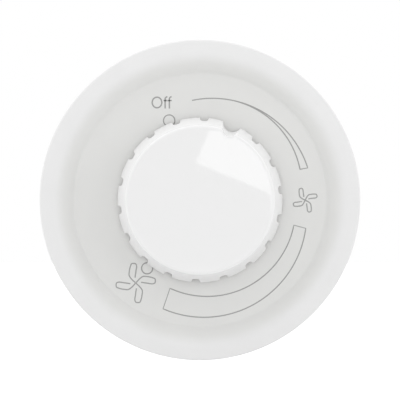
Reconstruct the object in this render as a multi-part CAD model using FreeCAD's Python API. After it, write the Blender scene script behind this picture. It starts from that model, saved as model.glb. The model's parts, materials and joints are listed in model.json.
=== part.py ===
import FreeCAD
import Part
import math
import os

# A fan speed control switch for a round wall box: a dial knob on a dished round cover, and
# behind it a flush insert with a mounting ring, a speed potentiometer that also switches the
# fan off, a circuit board and screw terminals.
# Each piece is modelled as it lies on a bench: X to the right, Y up the wall and Z out of the
# wall, with the wall's face at Z = 0 and the knob's axis through the origin. stand_up() turns
# it to the frame that is written out: X to the right, Y into the wall and Z up.
# Sizes are in millimetres. Dial angles are in degrees, clockwise from the top.

# Clearances
thread_gap = 0.05
shaft_gap = 0.05
fit_gap = 0.1
hole_gap = 0.3
contact_gap = 0.1
axial_gap = 0.2
overlap = 0.5

# Dial positions of the index notch
off_angle = -21.0
rest_angle = 23.0
full_angle = 218.0

# Mounting ring
box_screw_spacing = 60.0
slot_width = 4.2
slot_length = 7.0
ring_margin = 2.5
ring_thickness = 1.2
window_count = 8
window_width = 4.0
window_span = 20.0

# Cover
cover_gap = 2.0
cover_wall = 2.0
cover_boss_height = 0.6
cover_boss_wall = 2.6
rim_rise = 2.0
rim_tilt = 6.0
rim_edge_round = 0.5
crest_inset = 3.5
slope_width = 4.8
slope_foot_round = 1.0
peg_radius = 1.5
peg_reach = 0.5
peg_margin = 2.0
peg_angles = (45.0, 225.0)

# Knob
knob_radius = 20.6
knob_height = 13.6
knob_draft = 9.0
knob_edge_round = 0.75
knob_lift = 0.6
knob_wall = 2.4
knob_roof = 2.2
knob_boss_wall = 2.0
knob_rib_count = 6
knob_rib_width = 1.2
knob_rib_height = 3.0
grip_count = 18
grip_width = 2.1
grip_depth = 0.95
grip_corner = 0.7
notch_radius = 2.4
notch_top_radius = 1.75
notch_depth = 1.95
notch_wall = 1.6
boss_slit_width = 0.8
boss_slit_depth = 3.5

# Spring ring that squeezes the knob's boss onto the shaft
spring_thickness = 0.6
spring_width = 2.6
spring_inset = 0.4
spring_opening = 40.0

# Shaft and its circlip
shaft_radius = 3.0
shaft_flat = 1.6
shaft_end_gap = 1.2
pivot_radius = 1.5
groove_depth = 0.6
circlip_thickness = 0.7
circlip_wall = 1.7
circlip_opening = 70.0

# Threaded bush and the nuts on it
bush_radius = 5.0
bush_stand = 0.4
bush_chamfer = 0.5
flange_thickness = 1.2
washer_thickness = 0.6
washer_wall = 2.4
washer_tooth_count = 12
washer_tooth_depth = 0.8
bush_nut_height = 2.6
bush_nut_flats = 14.0
cover_nut_height = 2.2
cover_nut_wall = 2.6
cover_nut_slot_count = 4
cover_nut_slot_width = 2.0
cover_nut_slot_depth = 1.2

# Heat sink plate with its folded lug
sink_inset = 2.0
sink_corner = 10.0
sink_thickness = 1.5
sink_bend = 1.0
lug_inset = 4.0
lug_width = 12.0
lug_board_gap = 1.2

# Insert lid and rear housing
insert_size = 46.0
insert_corner = 14.0
lid_thickness = 2.0
lid_lip_height = 2.0
lid_lip_wall = 1.2
housing_wall = 1.8
housing_floor = 2.0
housing_edge_round = 1.2
boss_radius = 2.6
boss_foot_radius = 4.0
boss_corner_inset = 2.0
vent_count = 5
vent_width = 1.6
vent_length = 11.0
vent_pitch = 3.8

# Housing screws
screw_radius = 1.3
screw_length = 12.0
screw_head_radius = 2.6
screw_head_height = 1.5
recess_width = 0.7
recess_length = 2.8
recess_depth = 0.9

# Potentiometer
case_inset = 11.0
case_wall = 1.2
case_floor = 1.2
case_stand = 3.0
track_thickness = 1.0
track_inner_radius = 4.0
wiper_room = 2.2
wiper_thickness = 0.3
wiper_finger_width = 1.2
wiper_finger_run = 4.0
wiper_inner_margin = 1.6
wiper_outer_margin = 2.6
wiper_span = 40.0
carrier_thickness = 2.0
carrier_rim_gap = 1.5
carrier_hub_wall = 1.5
stop_lug_span = 12.0
stop_lug_reach = 1.0
stop_clearance = 0.5
contact_room = 1.5
pin_width = 0.8
pin_thickness = 0.4
pin_pitch = 4.0
pin_count = 3
pin_inset = 3.5

# Off switch: a ring on the carrier with a gap, and two fixed contacts
switch_ring_thickness = 0.4
switch_ring_hub_gap = 1.0
switch_ring_inset = 0.8
switch_ring_opening = 24.0
contact_width = 3.0
contact_thickness = 0.5
contact_tail_gap = 0.6
break_contact_angle = 210.0
feed_contact_angle = 150.0

# Circuit board
board_thickness = 1.6
board_gap = 0.4

# Triac on the lug
pad_thickness = 0.3
triac_width = 7.8
triac_height = 10.8
triac_thickness = 2.8
triac_hole_drop = 3.8
triac_lead_length = 0.9
triac_lead_width = 0.8
triac_lead_pitch = 2.3
triac_lead_count = 3
triac_screw_radius = 1.5
triac_head_radius = 2.7
triac_head_height = 1.4

# Choke
choke_height = 6.0
choke_outer_radius = 9.0
choke_inner_radius = 4.6
choke_edge_round = 0.6
choke_up = 3.0
choke_turn_count = 20
choke_room = 0.5
wire_diameter = 0.9

# Suppression capacitor and small parts on the board
capacitor_width = 6.6
capacitor_length = 17.0
capacitor_height = 9.0
capacitor_wall_gap = 0.9
capacitor_edge = 0.5
timing_width = 7.2
timing_length = 3.4
timing_height = 6.0
timing_inset = 4.2
lead_radius = 0.3
lead_stand = 0.5
resistor_radius = 1.15
resistor_length = 6.3
resistor_pitch = 9.6
resistor_insets = (6.2, 3.4)
diode_radius = 0.9
diode_length = 3.8
diode_pitch = 7.0
diode_inset = 1.2

# Fuse
fuse_length = 20.0
fuse_cap_length = 5.0
fuse_cap_radius = 2.6
fuse_tube_radius = 2.35
fuse_glass = 0.5
fuse_wire_radius = 0.12
fuse_clip_thickness = 0.5
fuse_clip_length = 3.6
fuse_clip_rise = 1.2
fuse_wall_gap = 1.5

# Terminals
terminal_count = 3
terminal_pitch = 6.5
terminal_depth = 8.2
clamp_width = 4.6
clamp_height = 5.0
clamp_depth = 6.4
clamp_stand = 0.6
clamp_wall = 0.8
wire_bore_height = 2.8
clamp_screw_radius = 1.4
clamp_head_radius = 2.0
clamp_head_height = 1.5
clamp_head_stand = 0.4
driver_radius = 2.3
driver_slot_width = 0.6
driver_slot_depth = 0.7

# Levels along Z, from the wall outwards
ring_front = ring_thickness
washer_front = ring_front + washer_thickness
bush_nut_front = washer_front + bush_nut_height
dish_back = bush_nut_front + cover_boss_height
dish_front = dish_back + cover_wall
cover_nut_front = dish_front + cover_nut_height
bush_end = cover_nut_front + bush_stand
circlip_back = bush_end + axial_gap
circlip_front = circlip_back + circlip_thickness
boss_foot = circlip_front + axial_gap
knob_foot = dish_front + knob_lift
knob_top = knob_foot + knob_height
roof_back = knob_top - knob_roof
shaft_end = roof_back - shaft_end_gap

# Levels along Z, from the wall into the box
sink_back = -sink_thickness
lid_back = sink_back - lid_thickness
flange_back = lid_back - flange_thickness
contact_front = flange_back - contact_room
contact_back = contact_front - contact_thickness
switch_ring_front = contact_back - contact_gap
carrier_front = switch_ring_front - switch_ring_thickness
carrier_back = carrier_front - carrier_thickness
track_front = carrier_back - wiper_room
track_back = track_front - track_thickness
case_back = track_back - case_floor
board_front = case_back - case_stand
board_back = board_front - board_thickness
choke_front = board_back - choke_room - wire_diameter
choke_back = choke_front - choke_height
room_back = choke_back - wire_diameter - choke_room
housing_back = room_back - housing_floor
clamp_front = board_back - clamp_stand
clamp_back = clamp_front - clamp_height

# Radii and places that follow from the sizes
ring_radius = box_screw_spacing / 2 + slot_length / 2 + ring_margin
peg_circle = ring_radius - peg_margin - peg_radius
cover_radius = ring_radius + cover_gap + cover_wall
bush_hole_radius = bush_radius + hole_gap
knob_bore_radius = shaft_radius + shaft_gap
knob_boss_radius = knob_bore_radius + knob_boss_wall
knob_slope = math.tan(math.radians(knob_draft))
insert_half = insert_size / 2
housing_half = insert_half - housing_wall
housing_corner = insert_corner - housing_wall
board_half = housing_half - board_gap
corner_centre = insert_half - insert_corner
corner_reach = math.hypot(corner_centre, corner_centre) + housing_corner
boss_offset = (corner_reach - boss_corner_inset) / math.sqrt(2)
boss_places = [(x * boss_offset, y * boss_offset) for x in (-1, 1) for y in (-1, 1)]
screw_hole_radius = screw_radius + hole_gap
case_radius = insert_half - case_inset
case_inner_radius = case_radius - case_wall
carrier_radius = case_inner_radius - carrier_rim_gap
carrier_hub_radius = shaft_radius + carrier_hub_wall
wiper_radii = (track_inner_radius + wiper_inner_margin, case_inner_radius - wiper_outer_margin)
switch_ring_outer = carrier_radius - switch_ring_inset
switch_ring_inner = carrier_hub_radius + switch_ring_hub_gap
pin_row = case_radius - pin_inset
part_reach = boss_offset - boss_radius - hole_gap - lead_radius
resistor_x = part_reach - resistor_pitch / 2
timing_x = timing_width / 2 - part_reach
lug_outer = insert_half - lug_inset
lug_inner = lug_outer - sink_thickness
lug_foot = board_front + lug_board_gap
triac_back = lug_inner - pad_thickness
triac_front = triac_back - triac_thickness
triac_foot = board_front + triac_lead_length
triac_hole_level = triac_foot + triac_height - triac_hole_drop
fuse_x = housing_half - fuse_wall_gap - fuse_clip_thickness - fuse_cap_radius
fuse_level = board_front + fuse_clip_thickness + fit_gap + fuse_cap_radius
terminal_half = terminal_count * terminal_pitch / 2
corner_run = max(terminal_half - corner_centre, 0.0)
wall_beside_terminals = corner_centre + math.sqrt(housing_corner ** 2 - corner_run ** 2)
terminal_outer = -(wall_beside_terminals - hole_gap)
terminal_inner = terminal_outer + terminal_depth
terminal_back = room_back + axial_gap
terminal_xs = [(n - (terminal_count - 1) / 2) * terminal_pitch for n in range(terminal_count)]
clamp_outer = terminal_outer + clamp_wall
clamp_inner = clamp_outer + clamp_depth
wire_bore_width = clamp_width - 2 * clamp_wall
wire_bore_front = clamp_front - clamp_wall
wire_bore_back = wire_bore_front - wire_bore_height

ORIGIN = FreeCAD.Vector(0, 0, 0)
Z_AXIS = FreeCAD.Vector(0, 0, 1)
TINY = 1e-6


# Shapes that several pieces use

def on_dial(angle, radius, level=0.0):
    """The point at a dial angle, a radius and a level."""
    turn = math.radians(angle)
    return FreeCAD.Vector(radius * math.sin(turn), radius * math.cos(turn), level)


def turned(shape, angle):
    """A copy of a shape that stands at the top of the dial, turned clockwise to an angle."""
    copy = shape.copy()
    copy.rotate(ORIGIN, Z_AXIS, -angle)
    return copy


def disc(radius, low, high, x=0.0, y=0.0):
    """A round bar along Z."""
    return Part.makeCylinder(radius, high - low, FreeCAD.Vector(x, y, low))


def tube(outer, inner, low, high):
    """A round bar on the knob's axis with a hole through it."""
    return disc(outer, low, high).cut(disc(inner, low, high))


def block(x_low, x_high, y_low, y_high, z_low, z_high):
    """A box between six levels."""
    corner = FreeCAD.Vector(x_low, y_low, z_low)
    return Part.makeBox(x_high - x_low, y_high - y_low, z_high - z_low, corner)


def post(x, y, width, length, low, high):
    """A box that stands centred on a place."""
    return block(x - width / 2, x + width / 2, y - length / 2, y + length / 2, low, high)


def rounded_square(size, corner, low, high):
    """A square slab with round corners."""
    slab = post(0, 0, size, size, low, high)
    upright = [e for e in slab.Edges if abs(e.BoundBox.ZLength - (high - low)) < TINY]
    return slab.makeFillet(corner, upright)


def prism(points, direction):
    """A flat outline of straight sides, carried along a direction."""
    outline = Part.makePolygon([*points, points[0]])
    return Part.Face(outline).extrude(direction)


def sector(inner, outer, start, end, low, high):
    """A piece of a ring between two dial angles."""
    middle = (start + end) / 2
    corners = [on_dial(a, r, low) for a, r in
               ((start, inner), (start, outer), (end, outer), (end, inner))]
    edges = [
        Part.LineSegment(corners[0], corners[1]).toShape(),
        Part.Arc(corners[1], on_dial(middle, outer, low), corners[2]).toShape(),
        Part.LineSegment(corners[2], corners[3]).toShape(),
        Part.Arc(corners[3], on_dial(middle, inner, low), corners[0]).toShape(),
    ]
    return Part.Face(Part.Wire(edges)).extrude(FreeCAD.Vector(0, 0, high - low))


def slot(x, length, width, low, high):
    """A slot along X with round ends, centred on a place on the X axis."""
    reach = length / 2 - width / 2
    ends = [disc(width / 2, low, high, x + side * reach) for side in (-1, 1)]
    middle = block(x - reach, x + reach, -width / 2, width / 2, low, high)
    return joined([middle, *ends])


def joined(shapes):
    """The pieces as one solid, with no seams left between them."""
    return shapes[0].multiFuse(shapes[1:]).removeSplitter()


def together(shapes):
    """Separate solids in one piece."""
    return Part.makeCompound(shapes)


def arc(centre, radius, start, end):
    """An arc in the plane of a turned profile, by its angles in degrees from the radius."""
    def at(angle):
        turn = math.radians(angle)
        return FreeCAD.Vector(centre[0] + radius * math.cos(turn), 0,
                              centre[1] + radius * math.sin(turn))
    return Part.Arc(at(start), at((start + end) / 2), at(end)).toShape()


def spun(edges):
    """A closed profile of edges, and of straight lines where they leave a gap, spun about Z."""
    closed = []
    for edge, following in zip(edges, [*edges[1:], edges[0]]):
        closed.append(edge)
        leave = edge.lastVertex(True).Point
        arrive = following.firstVertex(True).Point
        if leave.distanceToPoint(arrive) > TINY:
            closed.append(Part.LineSegment(leave, arrive).toShape())
    return Part.Face(Part.Wire(closed)).revolve(ORIGIN, Z_AXIS, 360)


def line(*points):
    """Straight edges through points of a turned profile, each a radius and a level."""
    corners = [FreeCAD.Vector(radius, 0, level) for radius, level in points]
    return [Part.LineSegment(a, b).toShape() for a, b in zip(corners, corners[1:])]


def cross_recess(x, y, top):
    """The tool that cuts a cross recess into a screw head that faces +Z."""
    bars = [post(x, y, recess_length, recess_width, top - recess_depth, top),
            post(x, y, recess_width, recess_length, top - recess_depth, top)]
    return joined(bars)


# Cover and knob

def cover_plate():
    """The round cover: a tilted rim, a slope down to the dish floor, a boss and two pegs."""
    crest = (cover_radius - crest_inset, dish_front + rim_rise)
    sweep = (slope_width ** 2 + rim_rise ** 2) / (2 * rim_rise)
    crest_centre = (crest[0], crest[1] - sweep)
    foot_level = dish_front + slope_foot_round
    foot_run = math.sqrt((sweep + slope_foot_round) ** 2 - (foot_level - crest_centre[1]) ** 2)
    foot_centre = (crest[0] - foot_run, foot_level)
    foot_end = math.degrees(math.atan2(crest_centre[1] - foot_level, foot_run))
    tilt = math.radians(rim_tilt)
    rim_start = (crest[0] + sweep * math.sin(tilt), crest_centre[1] + sweep * math.cos(tilt))

    def rim_level(radius):
        return rim_start[1] - (radius - rim_start[0]) * math.tan(tilt)

    edge_radius = cover_radius - rim_edge_round
    edge_centre = (edge_radius, rim_level(edge_radius) - rim_edge_round / math.cos(tilt))
    inner_radius = cover_radius - cover_wall
    shell = spun([
        arc(foot_centre, slope_foot_round, -90, foot_end),
        arc(crest_centre, sweep, 180 + foot_end, 90 - rim_tilt),
        arc(edge_centre, rim_edge_round, 90 - rim_tilt, 0),
        *line((cover_radius, 0), (inner_radius, 0),
              (inner_radius, rim_level(inner_radius) - cover_wall),
              (crest[0], crest[1] - cover_wall), (foot_centre[0], dish_back),
              (bush_hole_radius, dish_back), (bush_hole_radius, dish_front)),
    ])
    boss = tube(bush_hole_radius + cover_boss_wall, bush_hole_radius,
                bush_nut_front, dish_back + overlap)
    pegs = []
    for angle in peg_angles:
        place = on_dial(angle, peg_circle)
        pegs.append(disc(peg_radius, -peg_reach, dish_front - cover_wall / 4, place.x, place.y))
    return joined([shell, boss, *pegs])


def cover_nut():
    """The slotted ring nut that clamps the cover, hidden under the knob."""
    outer = bush_radius + thread_gap + cover_nut_wall
    nut = tube(outer, bush_radius + thread_gap, dish_front, cover_nut_front)
    slit = post(0, outer, cover_nut_slot_width, 2 * cover_nut_slot_depth, dish_front, cover_nut_front)
    return nut.cut([turned(slit, n * 360 / cover_nut_slot_count) for n in range(cover_nut_slot_count)])


def notch_column(wall=0.0):
    """The tapered round column of the index notch, leaning as the knob's side does, grown by a wall."""
    spare = notch_radius + wall
    taper = (notch_radius - notch_top_radius) / knob_height
    axis = FreeCAD.Vector(0, -knob_slope, 1)
    centre = knob_radius - notch_depth + notch_radius + spare * knob_slope
    column = Part.makeCone(notch_radius + spare * taper + wall, notch_top_radius - spare * taper + wall,
                           (knob_height + 2 * spare) * axis.Length,
                           FreeCAD.Vector(0, centre, knob_foot - spare), axis)
    return turned(column, rest_angle)


def grip_cutters():
    """Upright cutters with a round floor for the small grip notches, all round but for the index notch."""
    floor = knob_radius - grip_depth
    cutter = block(-grip_width / 2, grip_width / 2, floor, knob_radius + overlap,
                   knob_foot - overlap, knob_top)
    corners = [e for e in cutter.Edges
               if e.BoundBox.ZLength > knob_height and e.BoundBox.YMax < floor + TINY]
    cutter = cutter.makeFillet(grip_corner, corners)
    pitch = 360 / grip_count
    return [turned(cutter, rest_angle + n * pitch) for n in range(1, grip_count)]


def shaft_bar(radius, flat, low, high):
    """A round bar with a flat that faces away from the index notch."""
    bar = disc(radius, low, high)
    return bar.cut(turned(block(-radius, radius, -2 * radius, -flat, low, high), rest_angle))


def knob():
    """The hollow dial knob, with grip notches, an index notch and a slit boss for the shaft."""
    crown = Part.makeCone(knob_radius, knob_radius - knob_height * knob_slope, knob_height,
                          FreeCAD.Vector(0, 0, knob_foot))
    top_edge = [e for e in crown.Edges if e.BoundBox.ZMin > knob_top - TINY]
    crown = crown.makeFillet(knob_edge_round, top_edge)
    hollow_height = roof_back - knob_foot
    hollow_radius = knob_radius - knob_wall
    hollow = Part.makeCone(hollow_radius, hollow_radius - hollow_height * knob_slope, hollow_height,
                           FreeCAD.Vector(0, 0, knob_foot))
    boss = disc(knob_boss_radius, boss_foot, roof_back + overlap)
    rib = block(-knob_rib_width / 2, knob_rib_width / 2, knob_boss_radius - overlap, hollow_radius,
                roof_back - knob_rib_height, roof_back + overlap)
    ribs = [turned(rib, rest_angle + (n + 0.5) * 360 / knob_rib_count) for n in range(knob_rib_count)]
    inside = joined([boss, notch_column(notch_wall), *ribs]).common(crown)
    bore = shaft_bar(knob_bore_radius, shaft_flat + shaft_gap, boss_foot, shaft_end + axial_gap)
    slit = turned(post(0, 0, 2 * knob_boss_radius, boss_slit_width,
                       boss_foot, boss_foot + boss_slit_depth), rest_angle)
    shell = crown.cut(hollow).fuse(inside)
    return shell.cut([bore, slit, notch_column(), *grip_cutters()]).removeSplitter()


def knob_spring_ring():
    """The open steel ring round the slit end of the knob's boss."""
    low = boss_foot + spring_inset
    ring = tube(knob_boss_radius + spring_thickness, knob_boss_radius, low, low + spring_width)
    opening = sector(knob_boss_radius - overlap, knob_boss_radius + spring_thickness + overlap,
                     rest_angle - spring_opening / 2, rest_angle + spring_opening / 2,
                     low, low + spring_width)
    return ring.cut(opening)


# Shaft, bush and nuts

def shaft():
    """The shaft: a pivot, the round bearing length, a circlip groove and a flat for the knob."""
    pivot = disc(pivot_radius, case_back + axial_gap, carrier_back + overlap)
    bar = disc(shaft_radius, carrier_back, boss_foot)
    driven = shaft_bar(shaft_radius, shaft_flat, boss_foot, shaft_end)
    groove = tube(shaft_radius + overlap, shaft_radius - groove_depth, circlip_back, circlip_front)
    return joined([pivot, bar, driven]).cut(groove)


def shaft_circlip():
    """The open clip in the shaft's groove, in front of the bush."""
    inner = shaft_radius - groove_depth
    outer = inner + circlip_wall
    opening = sector(inner / 2, outer + overlap, 180 - circlip_opening / 2, 180 + circlip_opening / 2,
                     circlip_back, circlip_front)
    return tube(outer, inner, circlip_back, circlip_front).cut(opening)


def threaded_bush():
    """The bush that carries the shaft, with the flange that closes the potentiometer."""
    neck = disc(bush_radius, lid_back - overlap, bush_end)
    rim = [e for e in neck.Edges if e.BoundBox.ZMin > bush_end - TINY]
    flange = disc(case_radius, flange_back, lid_back)
    body = joined([flange, neck.makeChamfer(bush_chamfer, rim)])
    return body.cut(disc(shaft_radius + shaft_gap, flange_back, bush_end))


def bush_nut():
    """The hexagon nut that clamps the insert to the mounting ring."""
    corner_radius = bush_nut_flats / math.sqrt(3)
    corners = [on_dial(n * 60, corner_radius, washer_front) for n in range(6)]
    nut = prism(corners, FreeCAD.Vector(0, 0, bush_nut_height))
    chamfer = corner_radius - bush_nut_flats / 2
    turned_blank = disc(corner_radius, washer_front, bush_nut_front)
    rims = [e for e in turned_blank.Edges if e.BoundBox.ZLength < TINY]
    nut = nut.common(turned_blank.makeChamfer(chamfer / 2, rims))
    return nut.cut(disc(bush_radius + thread_gap, washer_front, bush_nut_front))


def lock_washer():
    """The toothed washer under the hexagon nut."""
    outer = bush_hole_radius + washer_wall
    washer = tube(outer, bush_hole_radius, ring_front, washer_front)
    tooth_pitch = 360 / washer_tooth_count
    gap = sector(outer - washer_tooth_depth, outer + overlap, -tooth_pitch / 4, tooth_pitch / 4,
                 ring_front, washer_front)
    return washer.cut([turned(gap, n * tooth_pitch) for n in range(washer_tooth_count)])


# Mounting ring, heat sink, lid and housing

def mounting_ring():
    """The steel ring that lies on the wall, slotted for the wall box's screws."""
    plate = disc(ring_radius, 0, ring_front)
    circle = box_screw_spacing / 2
    box_slot = slot(circle, slot_length, slot_width, 0, ring_front)
    cutters = [turned(box_slot, n * 90) for n in range(4)]
    for n in range(window_count):
        middle = (n + 0.5) * 360 / window_count
        cutters.append(sector(circle - window_width / 2, circle + window_width / 2,
                              middle - window_span / 2, middle + window_span / 2, 0, ring_front))
    for angle in peg_angles:
        place = on_dial(angle, peg_circle)
        cutters.append(disc(peg_radius + fit_gap, 0, ring_front, place.x, place.y))
    cutters += [disc(screw_hole_radius, 0, ring_front, x, y) for x, y in boss_places]
    cutters.append(disc(bush_hole_radius, 0, ring_front))
    return plate.cut(cutters)


def folded_lug():
    """The heat sink's lug, with the bend that joins it to the plate."""
    outer_bend = sink_bend + sink_thickness
    start = lug_outer - outer_bend
    bend = Part.makeCylinder(outer_bend, lug_width, FreeCAD.Vector(-lug_width / 2, start, -outer_bend),
                             FreeCAD.Vector(1, 0, 0))
    hollow = Part.makeCylinder(sink_bend, lug_width, FreeCAD.Vector(-lug_width / 2, start, -outer_bend),
                               FreeCAD.Vector(1, 0, 0))
    corner = block(-lug_width / 2, lug_width / 2, start, lug_outer, -outer_bend, 0)
    leaf = block(-lug_width / 2, lug_width / 2, lug_inner, lug_outer, lug_foot, -outer_bend)
    return joined([bend.cut(hollow).common(corner), leaf])


def heat_sink_plate():
    """The aluminium plate behind the ring, folded at the top into a lug for the triac."""
    plate = rounded_square(insert_size - 2 * sink_inset, sink_corner, sink_back, 0)
    bend_start = lug_outer - sink_bend - sink_thickness
    cutters = [block(-lug_width / 2, lug_width / 2, bend_start, insert_half, sink_back, 0)]
    cutters += [disc(screw_hole_radius, sink_back, 0, x, y) for x, y in boss_places]
    cutters.append(disc(bush_hole_radius, sink_back, 0))
    tapped_hole = Part.makeCylinder(triac_screw_radius + thread_gap, 2 * sink_thickness,
                                    FreeCAD.Vector(0, lug_inner - overlap, triac_hole_level),
                                    FreeCAD.Vector(0, 1, 0))
    return joined([plate.cut(cutters), folded_lug()]).cut(tapped_hole)


def insert_lid():
    """The moulded lid of the insert, with a lip inside the housing and a slot for the lug."""
    lid = rounded_square(insert_size, insert_corner, lid_back, sink_back)
    inset = housing_wall + fit_gap
    lip_bottom = lid_back - lid_lip_height
    lip = rounded_square(insert_size - 2 * inset, insert_corner - inset, lip_bottom, lid_back)
    inner_inset = inset + lid_lip_wall
    inside = rounded_square(insert_size - 2 * inner_inset, insert_corner - inner_inset,
                            lip_bottom, lid_back)
    bend_start = lug_outer - sink_bend - sink_thickness
    cutters = [disc(screw_hole_radius, lid_back, sink_back, x, y) for x, y in boss_places]
    cutters += [disc(boss_radius + hole_gap, lip_bottom, lid_back, x, y) for x, y in boss_places]
    cutters.append(disc(bush_hole_radius, lid_back, sink_back))
    cutters.append(block(-lug_width / 2 - hole_gap, lug_width / 2 + hole_gap,
                         bend_start - hole_gap, lug_outer + hole_gap, lid_back, sink_back))
    return joined([lid, lip.cut(inside)]).cut(cutters)


def vent_cutters():
    """Cutters for the cooling slots through the two side walls."""
    middle = (lid_back + room_back) / 2
    cutters = []
    for n in range(vent_count):
        y = (n - (vent_count - 1) / 2) * vent_pitch
        for side in (-1, 1):
            cutters.append(post(side * insert_half, y, 4 * housing_wall, vent_width,
                                middle - vent_length / 2, middle + vent_length / 2))
    return cutters


def rear_housing():
    """The moulded cup in the wall box, with screw bosses, wire windows, driver holes and vents."""
    blank = rounded_square(insert_size, insert_corner, housing_back, lid_back)
    back_edges = [e for e in blank.Edges if e.BoundBox.ZMax < housing_back + TINY]
    blank = blank.makeFillet(housing_edge_round, back_edges)
    room = rounded_square(2 * housing_half, housing_corner, room_back, lid_back)
    bosses = []
    pilots = []
    for x, y in boss_places:
        bosses.append(disc(boss_foot_radius, room_back - overlap, board_back, x, y))
        bosses.append(disc(boss_radius, board_back - overlap, lid_back, x, y))
        pilots.append(disc(screw_radius + thread_gap, ring_front - screw_length - axial_gap, lid_back, x, y))
    windows = []
    for x in terminal_xs:
        windows.append(block(x - wire_bore_width / 2 - fit_gap, x + wire_bore_width / 2 + fit_gap,
                             -insert_half - overlap, -housing_half + overlap,
                             wire_bore_back - fit_gap, wire_bore_front + fit_gap))
        windows.append(disc(driver_radius, housing_back, room_back, x, (clamp_outer + clamp_inner) / 2))
    inside = joined(bosses).common(blank)
    return joined([blank.cut(room), inside]).cut([*pilots, *windows, *vent_cutters()])


def housing_screws():
    """The four cross-head screws that hold ring, heat sink, lid and housing together."""
    screws = []
    for x, y in boss_places:
        top = ring_front + screw_head_height
        head = disc(screw_head_radius, ring_front, top, x, y)
        rim = [e for e in head.Edges if e.BoundBox.ZMin > top - TINY]
        head = head.makeFillet(screw_head_height / 2, rim)
        shank = disc(screw_radius, ring_front - screw_length, ring_front + overlap, x, y)
        screws.append(joined([head, shank]).cut(cross_recess(x, y, top)))
    return together(screws)


# Potentiometer and off switch

def contact_strip(width, front, back):
    """The path of a switch contact's leaf through the case wall, at the top of the dial."""
    tail = case_radius + contact_tail_gap
    return block(-width / 2, width / 2, switch_ring_inner, tail + contact_thickness, back, front)


def pot_case():
    """The potentiometer's case: a cup with a pivot hole, a stop rib and slots for the contacts."""
    cup = disc(case_radius, case_back, flange_back).cut(disc(case_inner_radius, track_back, flange_back))
    lug_half = stop_lug_span / 2 + stop_clearance
    rib = sector(carrier_radius + axial_gap, case_inner_radius + overlap,
                 full_angle + lug_half, off_angle + 360 - lug_half,
                 carrier_back - axial_gap, carrier_front)
    slits = [turned(contact_strip(contact_width + 2 * fit_gap, contact_front + fit_gap,
                                  contact_back - fit_gap), angle)
             for angle in (break_contact_angle, feed_contact_angle)]
    pivot_hole = disc(pivot_radius + shaft_gap, case_back, track_back)
    return joined([cup, rib]).cut([*slits, pivot_hole])


def resistor_track():
    """The round plate that carries the resistance track."""
    return tube(case_inner_radius - fit_gap, track_inner_radius, track_back, track_front)


def wiper_carrier():
    """The rotor on the shaft: a disc with a hub and the lug that meets the case's stop rib."""
    plate = disc(carrier_radius, carrier_back, carrier_front)
    hub = disc(carrier_hub_radius, carrier_back, flange_back - axial_gap)
    lug = sector(carrier_radius - overlap, carrier_radius + stop_lug_reach,
                 rest_angle - stop_lug_span / 2, rest_angle + stop_lug_span / 2,
                 carrier_back, carrier_front)
    return joined([plate, hub, lug]).cut(disc(shaft_radius, carrier_back, flange_back))


def wiper():
    """The spring contact under the rotor, with one finger for each path of the track."""
    low = carrier_back - wiper_thickness
    middle = rest_angle + 180
    parts = [sector(wiper_radii[0] - wiper_finger_width / 2, wiper_radii[1] + wiper_finger_width / 2,
                    middle - wiper_span / 2, middle + wiper_span / 2, low, carrier_back)]
    tip = track_front + contact_gap
    for radius in wiper_radii:
        inner = radius - wiper_finger_width / 2
        outline = [FreeCAD.Vector(x, inner, z) for x, z in
                   ((0, carrier_back), (wiper_finger_run, tip + wiper_thickness),
                    (wiper_finger_run, tip), (0, low))]
        finger = prism(outline, FreeCAD.Vector(0, wiper_finger_width, 0))
        parts.append(turned(finger, middle))
    return joined(parts)


def switch_ring():
    """The copper ring on the rotor, open where it leaves the break contact at Off."""
    opening_middle = break_contact_angle + rest_angle - off_angle
    return sector(switch_ring_inner, switch_ring_outer,
                  opening_middle + switch_ring_opening / 2,
                  opening_middle + 360 - switch_ring_opening / 2, carrier_front, switch_ring_front)


def switch_contacts():
    """The two fixed contacts, each a leaf over the switch ring and a tail down to the board."""
    leaf = contact_strip(contact_width, contact_front, contact_back)
    tail_start = case_radius + contact_tail_gap
    tail = block(-contact_width / 2, contact_width / 2, tail_start, tail_start + contact_thickness,
                 board_front, contact_front)
    contact = joined([leaf, tail])
    return together([turned(contact, a) for a in (break_contact_angle, feed_contact_angle)])


def pot_pins():
    """The pins from the potentiometer to the board."""
    xs = [(n - (pin_count - 1) / 2) * pin_pitch for n in range(pin_count)]
    return together([post(x, -pin_row, pin_width, pin_thickness, board_front, case_back) for x in xs])


# Board and the parts on it

def circuit_board():
    """The board, threaded over the housing's bosses and resting on their shoulders."""
    board = rounded_square(2 * board_half, housing_corner - board_gap, board_back, board_front)
    return board.cut([disc(boss_radius + axial_gap, board_back, board_front, x, y) for x, y in boss_places])


def triac_hole(radius, start, length):
    """A bar along Y through the triac's screw hole."""
    place = FreeCAD.Vector(0, start, triac_hole_level)
    return Part.makeCylinder(radius, length, place, FreeCAD.Vector(0, 1, 0))


def triac():
    """The triac's moulded body and its leads."""
    body = block(-triac_width / 2, triac_width / 2, triac_front, triac_back,
                 triac_foot, triac_foot + triac_height)
    body = body.cut(triac_hole(triac_screw_radius + fit_gap, triac_front, triac_thickness))
    row = (triac_front + triac_back) / 2
    xs = [(n - (triac_lead_count - 1) / 2) * triac_lead_pitch for n in range(triac_lead_count)]
    leads = [post(x, row, triac_lead_width, pin_thickness, board_front, triac_foot + overlap) for x in xs]
    return joined([body, *leads])


def triac_pad():
    """The insulating pad between the triac and the lug."""
    pad = block(-triac_width / 2, triac_width / 2, triac_back, lug_inner,
                triac_foot, triac_foot + triac_height)
    return pad.cut(triac_hole(triac_screw_radius + fit_gap, triac_back, pad_thickness))


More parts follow.
